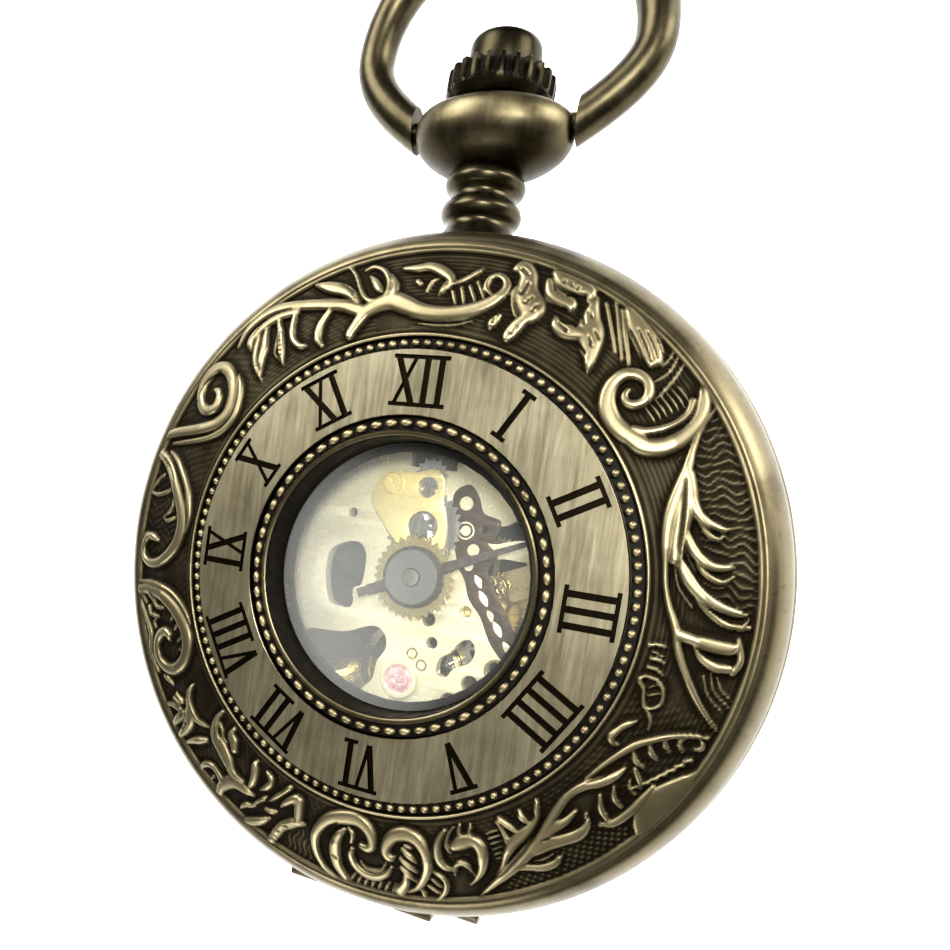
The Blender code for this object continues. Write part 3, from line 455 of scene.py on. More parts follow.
def turn_profile(shape, profile, steps):
    """Spins a closed (radius, height) profile in millimetres round the Z axis."""
    corners = [shape.verts.new((r * MM, 0.0, z * MM)) for r, z in profile]
    edges = [shape.edges.new(pair) for pair in zip(corners, corners[1:] + corners[:1])]
    bmesh.ops.spin(
        shape, geom=corners + edges, cent=(0, 0, 0), axis=(0, 0, 1), dvec=(0, 0, 0),
        angle=FULL_TURN, steps=steps, use_merge=True,
    )
    bmesh.ops.remove_doubles(shape, verts=shape.verts, dist=1e-8)
    bmesh.ops.recalc_face_normals(shape, faces=shape.faces)


def turned_shape(profile, steps):
    shape = bmesh.new()
    turn_profile(shape, profile, steps)
    return shape


def lay_along_y(shape, scale_z=1.0):
    """Moves a shape turned round Z onto the winding stem's axis."""
    turn = Matrix.Rotation(-QUARTER_TURN, 3, "X")
    bmesh.ops.rotate(shape, verts=shape.verts, cent=(0, 0, 0), matrix=turn)
    bmesh.ops.scale(shape, verts=shape.verts, vec=(1, 1, scale_z))
    bmesh.ops.translate(shape, verts=shape.verts, vec=(0, 0, STEM_Z * MM))


def flatten_at_hinge(shape):
    """Trims a cover's rim flat behind the hinge, so that both covers can swing open together."""
    for vert in shape.verts:
        vert.co.y = max(vert.co.y, HINGE_FLAT_Y * MM)


def rounded(points, bend=0.35, steps=3):
    """Rounds the corners of an open run of points."""
    run = [points[0]]
    for before, here, after in zip(points, points[1:], points[2:]):
        a = Vector(here).lerp(Vector(before), bend)
        b = Vector(here).lerp(Vector(after), bend)
        for i in range(steps + 1):
            t = i / steps
            run.append(tuple(a.lerp(Vector(here), t).lerp(Vector(here).lerp(b, t), t)))
    run.append(points[-1])
    return run


def mesh_as_shown(thing):
    """A new mesh of an object with its modifiers or its curve's bevel applied."""
    bpy.context.view_layer.update()
    return bpy.data.meshes.new_from_object(thing.evaluated_get(bpy.context.evaluated_depsgraph_get()))


def cut_away(piece, cutter_shape):
    """Cuts a throw-away shape out of a piece."""
    mesh = bpy.data.meshes.new("cutter")
    cutter_shape.to_mesh(mesh)
    cutter_shape.free()
    cutter = bpy.data.objects.new("cutter", mesh)
    bpy.context.scene.collection.objects.link(cutter)
    modifier = piece.modifiers.new("cut", "BOOLEAN")
    modifier.operation = "DIFFERENCE"
    modifier.solver = "EXACT"
    modifier.use_self = True
    modifier.object = cutter
    whole, cut_mesh = piece.data, mesh_as_shown(piece)
    piece.modifiers.clear()
    piece.data = cut_mesh
    bpy.data.meshes.remove(whole)
    bpy.data.objects.remove(cutter)
    bpy.data.meshes.remove(mesh)


def drill(piece, radius, depth, around, place):
    """Bores a round hole, laid down by a quarter turn around X or Y."""
    shape = bmesh.new()
    bmesh.ops.create_cone(
        shape, cap_ends=True, segments=32, radius1=radius * MM, radius2=radius * MM, depth=depth * MM
    )
    turn = Matrix.Rotation(QUARTER_TURN, 3, around)
    bmesh.ops.rotate(shape, verts=shape.verts, cent=(0, 0, 0), matrix=turn)
    bmesh.ops.translate(shape, verts=shape.verts, vec=Vector(place) * MM)
    cut_away(piece, shape)


def shape_of_curve(curve):
    """Turns a curve into a bmesh, and removes the curve."""
    holder = bpy.data.objects.new("holder", curve)
    bpy.context.scene.collection.objects.link(holder)
    mesh = mesh_as_shown(holder)
    bpy.data.objects.remove(holder)
    bpy.data.curves.remove(curve)
    shape = bmesh.new()
    shape.from_mesh(mesh)
    bpy.data.meshes.remove(mesh)
    bmesh.ops.remove_doubles(shape, verts=shape.verts, dist=1e-7)
    return shape


def add_block(shape, low, high):
    """A block between two corners, in millimetres."""
    low, high = Vector(low) * MM, Vector(high) * MM
    new = bmesh.ops.create_cube(shape, size=1.0)["verts"]
    bmesh.ops.scale(shape, verts=new, vec=high - low)
    bmesh.ops.translate(shape, verts=new, vec=(low + high) / 2)
    return new


# ---------------------------------------------------------------- the lid's embossing
# Every run is a list of (clock degree, radius, half-width): a raised strand of foliage.
STRANDS = [
    # sweep of acanthus over twelve o'clock
    [(314.2, 20.7, .1), (317.5, 21.2, .22), (321.5, 21.3, .28), (325.3, 21.0, .3), (330, 20.15, .33),
     (335.4, 19.2, .33), (339.6, 18.5, .33), (343.6, 17.7, .4)],
    [(316.5, 19.5, .1), (317.6, 20.2, .3), (321.5, 20.45, .32), (325.2, 20.3, .3), (329, 19.8, .25)],
    [(319.6, 20.0, .2), (317.7, 19.1, .26), (315.9, 17.9, .2), (315.2, 16.8, .05)],
    [(321.6, 20.0, .2), (319.6, 18.8, .3), (317.6, 18.1, .26), (316.0, 17.3, .06)],
    [(324.8, 20.1, .2), (324.2, 18.7, .24), (322.9, 17.6, .22), (321.7, 16.7, .05)],
    [(323.4, 19.0, .1), (322.2, 18.3, .12), (321.2, 17.9, .08), (321.5, 17.1, .05)],
    [(328.7, 19.8, .2), (327.2, 18.7, .22), (326.6, 17.9, .22), (327.5, 17.2, .2), (328.8, 17.0, .14)],
    [(336.2, 18.5, .2), (333.6, 17.8, .24), (332.3, 17.0, .25), (332.8, 16.4, .16)],
    [(344.4, 17.6, .4), (342.2, 16.95, .32), (340.4, 16.4, .28), (340.2, 16.2, .22)],
    [(334, 21.1, .12), (337, 20.35, .36), (340.5, 19.5, .34), (342.6, 18.6, .2), (343.9, 17.8, .1)],
    [(335.1, 19.75, .08), (338.2, 19.05, .18), (341, 18.5, .2), (343.4, 17.8, .1)],
    [(340.8, 21.5, .1), (342.3, 20.6, .12), (343.3, 19.4, .13), (344.6, 18.5, .16), (346.8, 18.1, .22),
     (349.0, 18.4, .2), (349.5, 19.3, .18), (348.2, 20.3, .16), (346, 20.8, .14), (344.3, 20.7, .1)],
    [(345.3, 20.2, .06), (346.3, 19.7, .2), (347.3, 19.1, .24), (347.9, 18.8, .16)],
    [(344.3, 17.6, .4), (347.5, 17.9, .42), (350.5, 18.0, .5), (353.5, 17.6, .48), (357, 17.15, .42),
     (361, 17.0, .38), (365, 17.15, .36), (369, 17.6, .36), (371.8, 18.3, .33), (373, 19.1, .27),
     (372.2, 19.7, .2), (370.4, 19.95, .17), (369.1, 19.6, .16), (369.2, 19.0, .15), (370.9, 18.6, .12)],
    [(350.5, 18.2, .3), (350.9, 19.0, .22), (349.8, 19.9, .1)],
    [(355, 16.75, .07), (359, 16.55, .09), (363, 16.55, .1), (367, 16.8, .1), (370.2, 17.3, .05)],
    [(357, 16.3, .05), (361, 16.2, .08), (365.5, 16.35, .08), (369, 16.8, .04)],
    [(352.2, 20.2, .14), (355, 20.1, .24), (357.5, 20.15, .28), (360.5, 19.7, .3), (362.3, 19.1, .2),
     (361, 18.4, .12)],
    [(362.3, 18.9, .12), (364.5, 19.3, .16), (366.5, 19.95, .14), (367.2, 20.3, .05)],
    [(355.4, 19.15, .16), (355.9, 19.0, .16)],
    [(357.6, 18.4, .08), (358.4, 19.1, .12), (359.4, 19.3, .08)],
    [(360.3, 18.2, .08), (361.0, 18.9, .12), (361.6, 19.2, .08)],
    [(362.9, 18.5, .1), (364.2, 17.7, .1)],
    [(364.5, 18.8, .1), (366.0, 17.75, .1)],
    [(366.0, 18.95, .1), (368.2, 17.95, .1)],
    [(367.2, 19.3, .1), (369.9, 18.2, .1)],
    # seeded leaves at one o'clock
    [(12.9, 20.6, .2), (13.9, 20.8, .38), (15.4, 20.4, .42), (16.4, 19.6, .5), (17.4, 19.1, .6),
     (18.8, 18.7, .66), (19.8, 18.3, .5), (19.1, 17.8, .34), (18.4, 17.2, .38), (17.9, 16.6, .34),
     (17.7, 16.2, .12)],
    [(15.2, 19.6, .18), (14.7, 19.2, .2), (15.4, 18.4, .1), (17.0, 17.8, .12)],
    [(14.0, 17.5, .14), (13.5, 17.0, .26), (13.3, 16.7, .18)],
    [(19.2, 20.5, .2), (20.6, 20.0, .34), (22.5, 19.8, .36), (24.6, 19.8, .32), (25.6, 19.5, .14)],
    [(19.4, 21.1, .2), (21.5, 20.9, .42), (24, 20.9, .42), (26.2, 21.0, .28), (27.0, 20.4, .12)],
    [(20.0, 19.6, .07), (21.4, 19.35, .09), (23.5, 19.55, .09), (25.6, 19.35, .07)],
    [(27.7, 20.9, .1), (28.4, 20.2, .3), (29.6, 19.5, .46), (30.9, 18.95, .62), (32.5, 18.45, .5),
     (34.1, 17.9, .34), (35.3, 17.4, .2), (36.0, 17.1, .06)],
    [(30.6, 18.8, .3), (28.6, 18.4, .36), (26.6, 18.2, .34), (25.0, 18.3, .26), (24.1, 18.7, .1)],
    [(29.4, 20.9, .08), (33.0, 19.9, .1), (36.8, 18.95, .08)],
    [(30.7, 21.2, .08), (34.5, 20.0, .1), (38.6, 18.9, .08)],
    [(32.2, 21.1, .1), (35.6, 20.1, .12), (40.0, 19.0, .1)],
    [(33.0, 21.3, .2), (36.0, 20.9, .45), (39.5, 20.5, .55), (41.8, 20.2, .4), (42.6, 19.8, .15)],
    [(43.0, 21.2, .06), (43.6, 20.4, .08), (42.8, 19.8, .06)],
    # scroll at half past one
    [(54.2, 17.2, .3), (51, 16.6, .42), (47.5, 16.35, .42), (44.2, 16.55, .42), (42.0, 17.05, .38),
     (40.9, 17.7, .34), (41.0, 18.4, .31), (42.3, 18.95, .28), (44.3, 19.1, .26), (46.2, 18.85, .25),
     (47.1, 18.35, .25), (46.6, 17.8, .24), (45.3, 17.55, .22), (44.1, 17.7, .18), (43.7, 18.05, .12)],
    [(51.5, 16.6, .35), (54.2, 17.0, .42), (55.9, 17.8, .44), (56.2, 18.7, .4), (55.4, 19.6, .34),
     (54.0, 20.4, .3), (52.4, 20.9, .3), (50.6, 21.2, .2)],
    [(50.4, 17.0, .2), (52.1, 17.5, .22), (53.1, 18.3, .2), (53.3, 19.1, .18), (52.7, 19.9, .17),
     (51.2, 20.5, .17)],
    [(45.4, 21.2, .06), (46.5, 20.4, .09), (47.3, 19.6, .09), (47.9, 18.9, .06)],
    [(44.0, 21.2, .06), (45.2, 20.3, .08), (45.3, 19.4, .06)],
    # great leaf at three o'clock
    [(53.8, 21.3, .08), (56, 20.1, .12), (58.6, 19.25, .17), (61.2, 18.65, .24), (64, 18.0, .3),
     (67, 17.4, .34), (70, 16.95, .3), (74, 16.65, .26), (78, 16.5, .16), (82, 16.5, .14),
     (86, 16.75, .16), (90, 17.25, .2), (94, 17.65, .2), (97.5, 18.3, .17), (101, 19.25, .14),
     (103.5, 20.25, .1), (105, 21.1, .06)],
    [(62.5, 18.55, .3), (66, 18.25, .4), (68, 17.9, .5), (71, 17.5, .42), (74, 17.2, .38),
     (77, 17.05, .3)],
    [(66.5, 18.3, .3), (69.5, 18.5, .24), (71.6, 19.0, .22), (72.7, 19.6, .14), (72.7, 19.95, .05)],
    [(70.3, 18.4, .1), (72.8, 18.75, .13), (74.2, 19.25, .12), (73.7, 19.65, .06)],
    [(69.8, 17.75, .12), (73, 17.75, .2), (76.3, 18.1, .24), (78.4, 18.7, .22), (79, 19.4, .18),
     (78.9, 20.0, .07)],
    [(76.5, 18.0, .1), (79.2, 18.35, .14), (80.9, 18.95, .14), (81.3, 19.5, .11), (80.4, 20.0, .06)],
    [(77.6, 17.25, .2), (81, 17.7, .3), (83.8, 18.45, .3), (85.4, 19.3, .24), (86.2, 20.2, .18),
     (86.5, 20.8, .06)],
    [(82, 17.7, .1), (85, 18.35, .14), (87.3, 19.15, .15), (88.4, 19.95, .14), (88.2, 20.6, .1),
     (87.2, 20.9, .06)],
    [(91.2, 17.5, .3), (91.6, 18.3, .27), (92.0, 19.2, .32), (92.0, 20.2, .3), (91.6, 20.5, .2)],
    [(92.4, 18.3, .08), (94.4, 18.9, .16), (95.4, 19.7, .22), (95.2, 20.4, .2)],
    [(90.3, 20.55, .1), (91.8, 20.75, .14), (93.8, 20.9, .18), (95.8, 20.7, .12)],
    [(88.3, 21.0, .1), (88.8, 20.5, .1)],
    [(69, 17.6, .04), (73, 17.45, .06), (77, 17.7, .06), (79.9, 18.1, .04)],
    [(78.5, 16.95, .05), (82.5, 17.2, .06), (86, 17.95, .04)],
    [(97.0, 20.0, .04), (98.8, 20.45, .05), (99.8, 21.1, .04)],
    [(96.5, 19.6, .04), (99.3, 20.1, .05), (101, 21.1, .04)],
    [(97.4, 19.3, .04), (100.3, 19.9, .05), (102, 20.9, .04)],
    # small insects and birds below it
    [(94.0, 17.0, .08), (93.9, 16.5, .1), (94.3, 16.15, .11)],
    [(95.9, 17.0, .05), (95.5, 16.4, .06)],
    [(97.1, 17.15, .07), (96.7, 16.7, .1), (96.9, 16.4, .09)],
    [(99.4, 17.3, .06), (98.6, 16.8, .09), (98.7, 16.4, .08)],
    [(100.5, 16.6, .1), (100.6, 17.1, .1), (102, 17.6, .1), (104.5, 17.8, .09), (106, 17.5, .09),
     (106.2, 17.1, .1), (105, 16.85, .1), (103, 16.6, .1), (101.8, 16.25, .12), (100.8, 16.35, .1),
     (100.5, 16.6, .1)],
    [(101.4, 17.2, .05), (102.6, 16.85, .05)],
    [(102.8, 17.5, .05), (104.0, 17.0, .05)],
    [(106.3, 17.2, .08), (108, 17.7, .09), (109.8, 17.9, .06)],
    [(109.6, 17.1, .08), (110.6, 16.85, .17), (112.4, 16.6, .17), (114.8, 16.45, .2), (115.7, 16.8, .12),
     (115.5, 17.1, .05)],
    # fern branch at four o'clock
    [(106.7, 20.9, .08), (107.5, 20.0, .12), (109, 19.1, .15), (111, 18.4, .17), (113.5, 17.8, .18),
     (117, 17.4, .16), (121, 17.15, .13), (125, 17.05, .1)],
    [(118.5, 18.15, .1), (121, 18.0, .22), (123.5, 17.7, .26), (126, 17.3, .24), (129, 17.15, .2),
     (132, 17.3, .22), (136, 17.85, .28), (140, 18.55, .33), (144, 19.15, .35), (148, 19.8, .3),
     (151.5, 20.4, .2), (154, 20.9, .13), (155.4, 21.2, .05)],
    [(107.6, 20.7, .09), (108.6, 20.9, .12), (109.2, 20.6, .08)],
    [(108.2, 19.8, .08), (109.4, 19.7, .12), (110.4, 20.1, .07)],
    [(109.6, 18.95, .08), (110.8, 19.1, .13), (111.5, 19.5, .07)],
    [(111.8, 18.35, .08), (113.2, 18.7, .14), (113.9, 19.25, .07)],
    [(114.6, 17.85, .08), (116.0, 18.3, .13), (116.3, 18.9, .07)],
    [(117.4, 18.6, .1), (118.6, 19.2, .13), (119.6, 19.6, .08)],
    [(118, 20.0, .12), (121, 20.05, .2), (124.5, 20.1, .22), (127.5, 20.0, .2), (129.4, 19.6, .1)],
    [(124.4, 19.6, .1), (124, 18.95, .13), (122.4, 18.4, .07)],
    [(127.8, 19.7, .14), (127.2, 18.95, .15), (125.4, 18.25, .08)],
    [(121.0, 19.6, .08), (120.6, 19.1, .1), (119.6, 18.8, .06)],
    [(129.8, 18.6, .07), (131, 19.15, .18), (133.5, 19.4, .3), (136.5, 19.2, .32), (139.3, 18.95, .42),
     (142, 19.1, .3)],
    [(131, 18.15, .1), (133.5, 18.3, .2), (136.5, 18.3, .3), (139.5, 18.6, .34)],
    [(138.8, 20.1, .1), (140.5, 20.35, .2), (142.6, 20.3, .22), (144.6, 20.0, .2), (146.8, 19.75, .2)],
    [(139.5, 19.75, .05), (141.5, 19.85, .08), (143.4, 19.7, .04)],
    [(151, 19.9, .05), (149, 19.4, .13), (147, 18.7, .22), (145, 18.2, .3), (142.5, 17.9, .3),
     (140, 17.65, .22), (138, 17.3, .16), (136.9, 16.8, .17), (136, 16.4, .1)],
    [(140.3, 17.4, .12), (140.8, 16.9, .18), (140.5, 16.5, .1)],
    [(143.4, 17.6, .13), (144.4, 17.0, .18), (145.3, 16.5, .15)],
    [(145.9, 18.0, .18), (145.8, 17.3, .13), (146.2, 16.6, .1)],
    # tulip at five o'clock
    [(156.6, 20.4, .05), (154.9, 20.0, .13), (153.2, 19.4, .22), (152, 18.6, .3), (151.7, 17.9, .34),
     (152.8, 17.4, .34), (155, 17.4, .4), (157, 17.6, .26)],
    [(154.9, 19.8, .05), (155.4, 19.1, .15), (156.6, 18.75, .17), (158.2, 19.0, .13), (158.8, 19.6, .07)],
    [(158.1, 19.2, .08), (160, 19.0, .2), (161, 18.4, .24), (160.8, 17.6, .24), (159.8, 17.0, .18),
     (158.2, 16.5, .1)],
    [(158.3, 18.0, .1), (158.7, 17.5, .13), (157.6, 16.8, .1), (156, 16.35, .06)],
    [(153.4, 17.1, .14), (152.6, 16.7, .12), (152, 16.35, .07)],
    [(155.4, 17.1, .14), (155, 16.6, .12), (154.4, 16.25, .08)],
    [(163.3, 21.4, .14), (161.8, 20.9, .16), (161, 20.3, .16), (161.3, 19.8, .14), (162.5, 19.4, .11),
     (162.7, 19.0, .07)],
    [(163.0, 20.9, .1), (164.6, 20.4, .1)],
    [(162.3, 20.4, .1), (163.5, 19.9, .1)],
    [(165.6, 21.1, .17), (166.0, 20.6, .1)],
    # heart of two shells at six o'clock
    [(168.5, 21.0, .12), (166.5, 20.5, .2), (165, 19.8, .24), (163.8, 19.0, .28), (163.5, 18.2, .32),
     (164.2, 17.45, .36), (165.8, 16.9, .4), (168, 16.75, .42), (170.3, 16.95, .38), (171.9, 17.5, .34),
     (172.4, 18.1, .3), (171.6, 18.55, .24), (170.6, 18.45, .12)],
    [(170.2, 21.0, .34), (168.8, 20.3, .26), (168.6, 19.7, .18)],
    [(166.8, 20.1, .12), (168.1, 19.6, .2), (169.3, 19.2, .14)],
    [(166.2, 19.4, .12), (167.8, 18.95, .2), (169.2, 18.5, .13)],
    [(165.9, 18.7, .1), (167.2, 18.25, .2), (168.6, 17.8, .14)],
    [(166.6, 17.7, .12), (167.8, 17.5, .16)],
    [(171.5, 19.3, .1), (172.8, 19.9, .2), (175, 20.3, .26), (177.2, 20.25, .26), (179.2, 19.8, .24),
     (180.2, 19.1, .22), (180.0, 18.6, .14)],
    [(172.6, 19.0, .06), (173.6, 19.6, .12), (175.2, 19.85, .14), (177, 19.8, .12), (178.2, 19.4, .08)],
    [(183.5, 21.4, .14), (185.6, 21.0, .2), (187.5, 20.2, .24), (188.6, 19.3, .27), (188.6, 18.4, .3),
     (187.6, 17.6, .34), (185.8, 16.95, .38), (183, 16.55, .42), (180, 16.35, .42), (177.6, 16.55, .38),
     (175.9, 17.1, .34), (175.4, 17.8, .3), (176.4, 18.2, .26), (178, 18.15, .18)],
    [(181.3, 21.0, .26), (183, 20.3, .34), (183.8, 19.4, .38), (183.9, 18.6, .34), (183.3, 17.9, .26),
     (182.2, 17.4, .16)],
    [(180.3, 18.1, .14), (180.2, 17.5, .16), (181.3, 17.15, .12)],
    # dove and sprigs at seven o'clock
    [(198, 21.5, .26), (197.5, 20.6, .3), (196.5, 19.6, .3), (195, 19.0, .32), (193.4, 18.5, .28),
     (191.6, 18.4, .1)],
    [(193.3, 18.4, .26), (193.9, 17.6, .32), (194.7, 16.95, .32), (196.0, 17.05, .28), (197.6, 17.7, .2),
     (198.4, 18.2, .08)],
    [(204, 21.4, .26), (202.5, 20.9, .3), (201, 20.3, .22), (199.9, 19.75, .08)],
    [(206.8, 21, .08), (206, 20.3, .18), (204.5, 19.9, .14), (203.8, 19.2, .13), (202.7, 18.6, .14),
     (202.3, 18.3, .06)],
    [(201.5, 19.25, .12), (200, 19.1, .18), (198.8, 18.8, .1)],
    [(201.3, 18.4, .08), (200.3, 17.8, .16), (199, 17.1, .15), (198, 16.5, .17), (197.6, 16.3, .08)],
    [(204.6, 18.2, .07), (203.3, 17.6, .22), (202.8, 17, .2), (203.9, 16.7, .18), (205.1, 16.65, .1)],
    [(205.2, 19.0, .12), (207.5, 19.15, .3), (210.3, 19.4, .4), (211.8, 20.0, .42), (212.5, 20.8, .36),
     (212.2, 21.4, .28)],
    [(212.8, 20.4, .26), (215, 20.15, .2), (216.8, 20.2, .2), (218.2, 20.7, .2), (218.6, 21.4, .15)],
    [(215.5, 21.3, .1), (215.2, 20.85, .1)],
    [(207.0, 18.7, .14), (206.9, 18, .25), (207.6, 17.3, .3), (208.6, 16.85, .22), (208.5, 16.5, .08)],
    [(209, 18.8, .2), (212, 18.9, .3), (215, 18.45, .42), (218, 18.15, .45), (220.8, 17.95, .38),
     (222.7, 17.4, .28), (223.7, 16.8, .2), (224, 16.2, .1)],
    [(215.0, 17.3, .26), (216.5, 16.9, .32), (218, 16.7, .26), (218.5, 16.25, .16)],
    [(217.5, 17.5, .08), (219, 17.5, .12), (220.5, 17.2, .14), (222.3, 17.0, .13)],
    [(224.6, 21.4, .1), (223.8, 20.5, .2), (222.8, 19.8, .25), (221.6, 19.1, .15)],
    [(223.3, 18.15, .08), (226, 18.7, .2), (228.5, 18.9, .3), (231, 18.65, .26), (233, 18.15, .2),
     (234.1, 17.6, .06)],
    [(226.5, 21.4, .2), (226.7, 20.5, .34), (227.5, 19.6, .44), (229, 19.15, .4)],
    [(229.2, 21.4, .18), (229.5, 20.6, .3), (229.4, 19.8, .28)],
    [(233.4, 21.2, .13), (232.5, 20.6, .18), (230.8, 20.0, .22)],
    [(233.7, 20.2, .12), (232, 19.85, .17)],
    [(234.1, 19.7, .12), (232, 19.4, .18)],
    [(239, 20.3, .12), (238, 19.95, .2), (236.4, 19.7, .1)],
    # scroll at eight o'clock
    [(258.3, 21.5, .3), (258.2, 20.5, .34), (257.5, 19.5, .36), (256.4, 18.6, .38), (254.5, 17.85, .4),
     (252, 17.25, .42), (249, 16.85, .42), (245.5, 16.7, .42), (242.5, 17.0, .4), (240.3, 17.6, .38),
     (239.3, 18.4, .37), (239.6, 19.3, .36), (241.2, 20.0, .34), (243.5, 20.35, .32), (246, 20.15, .3),
     (247.7, 19.6, .3), (248.2, 18.95, .3), (247.4, 18.5, .26), (246.3, 18.5, .16)],
    [(259.8, 21.5, .15), (259.6, 20.2, .17), (258.8, 18.9, .18), (257.1, 17.7, .18), (254.2, 16.8, .18),
     (251.2, 16.35, .16), (248.3, 16.15, .08)],
    [(257.3, 20.1, .26), (255.8, 19.75, .18), (254.1, 19.4, .15), (253.6, 18.7, .1)],
    [(254.3, 20.4, .14), (252.8, 20.3, .15), (252.2, 19.8, .14), (251.8, 19.4, .07)],
    [(257.5, 21.2, .16), (256, 20.9, .14), (255.1, 20.7, .08)],
    [(249.5, 19.9, .1), (250.8, 20.0, .13), (251.6, 19.7, .08)],
    [(243.1, 17.9, .06), (242.6, 17.3, .14)],
    [(245.2, 17.8, .06), (246.0, 17.1, .13)],
    [(248.0, 17.9, .06), (249.3, 17.3, .14)],
    [(250.4, 18.1, .06), (252.2, 17.5, .14)],
    [(240.6, 20.9, .12), (244.5, 21.1, .2), (248.5, 20.6, .22), (251.5, 20.8, .2), (254.5, 21.2, .17),
     (256.5, 21.5, .1)],
    # scroll at nine o'clock
    [(286.8, 21.5, .3), (286.4, 20.7, .33), (285.3, 19.8, .36), (283.5, 18.95, .37), (281, 18.15, .38),
     (278, 17.45, .38), (275, 17.05, .38), (272, 17.0, .38), (269, 17.25, .36), (266.5, 17.85, .34),
     (264.8, 18.55, .32), (263.9, 19.4, .3), (263.9, 20.2, .28), (264.9, 20.8, .25), (266.7, 21.05, .22),
     (268.6, 20.9, .22), (269.6, 20.5, .23), (269.6, 19.9, .24), (269.1, 19.4, .13)],
    [(288.2, 20.4, .14), (287.3, 19.1, .2), (285.3, 18.1, .22), (282.5, 17.25, .23), (279.5, 16.75, .24),
     (276.5, 16.45, .2), (273.5, 16.45, .13), (271, 16.65, .06)],
    [(264.2, 20.9, .07), (266, 21.35, .1), (268.5, 21.35, .1), (270.1, 20.9, .1), (270.3, 20.2, .07)],
    [(278.5, 21.2, .1), (278.8, 20.3, .13), (279.8, 19.5, .13), (281, 18.95, .09)],
    [(279, 21.3, .08), (281.5, 20.85, .1), (283.2, 20.3, .09)],
    [(274.3, 19.1, .07), (273.9, 18.6, .11), (274.6, 18.1, .11), (275.4, 17.7, .06)],
    [(274.5, 19.0, .07), (276, 18.5, .11), (277.5, 18.3, .11), (279, 18.45, .07)],
    # scroll at ten o'clock
    [(291, 21.5, .26), (292.5, 20.7, .3), (294, 19.8, .32), (295.8, 18.85, .33), (298, 18.0, .34),
     (300.5, 17.4, .36), (303.5, 17.2, .37), (306.3, 17.5, .38), (308.7, 18.2, .38), (309.9, 19.1, .38),
     (309.8, 20.0, .38), (308.5, 20.7, .37), (306.3, 21.0, .37), (303.8, 20.9, .36), (301.6, 20.4, .36),
     (300.4, 19.6, .35), (300.7, 18.9, .33), (302.3, 18.45, .3), (304.2, 18.55, .27), (305.4, 19.0, .25),
     (305.1, 19.5, .16)],
    [(290, 20.6, .1), (291.5, 19.6, .15), (293.5, 18.5, .16), (296, 17.5, .18), (299, 16.8, .2),
     (302, 16.5, .22), (305, 16.55, .23), (308, 17.05, .22), (310.4, 17.8, .2), (311.5, 18.6, .1)],
]
STRANDS += [
    [(d, 21.35, .08), (d - 0.5, 20.9, .13), (d - 1.0, 20.55, .09)]
    for d in (172, 173.4, 174.8, 176.2, 177.6, 179, 180.4)
]
STRANDS += [[(d, 21.45, .05), (d + 0.2, 21.05, .08)] for d in (242.5, 244.6, 247.2, 249.2, 251)]
STRANDS += [
    [(47.9, r, .05), (50.0, r + .04, .07), (51.6, r, .04)]
    for r in (20.25, 19.9, 19.55, 19.2, 18.85, 18.5, 18.15)
]
STRANDS += [[(147.0, r, .05), (149.4, r + .03, .06)] for r in (18.85, 18.55, 18.2, 17.85, 17.5, 17.15)]
STRANDS += [
    [(111.0 + 1.4 * i, 20.75 - .22 * i, .11), (111.8 + 1.4 * i, 20.45 - .2 * i, .08)] for i in range(7)
]

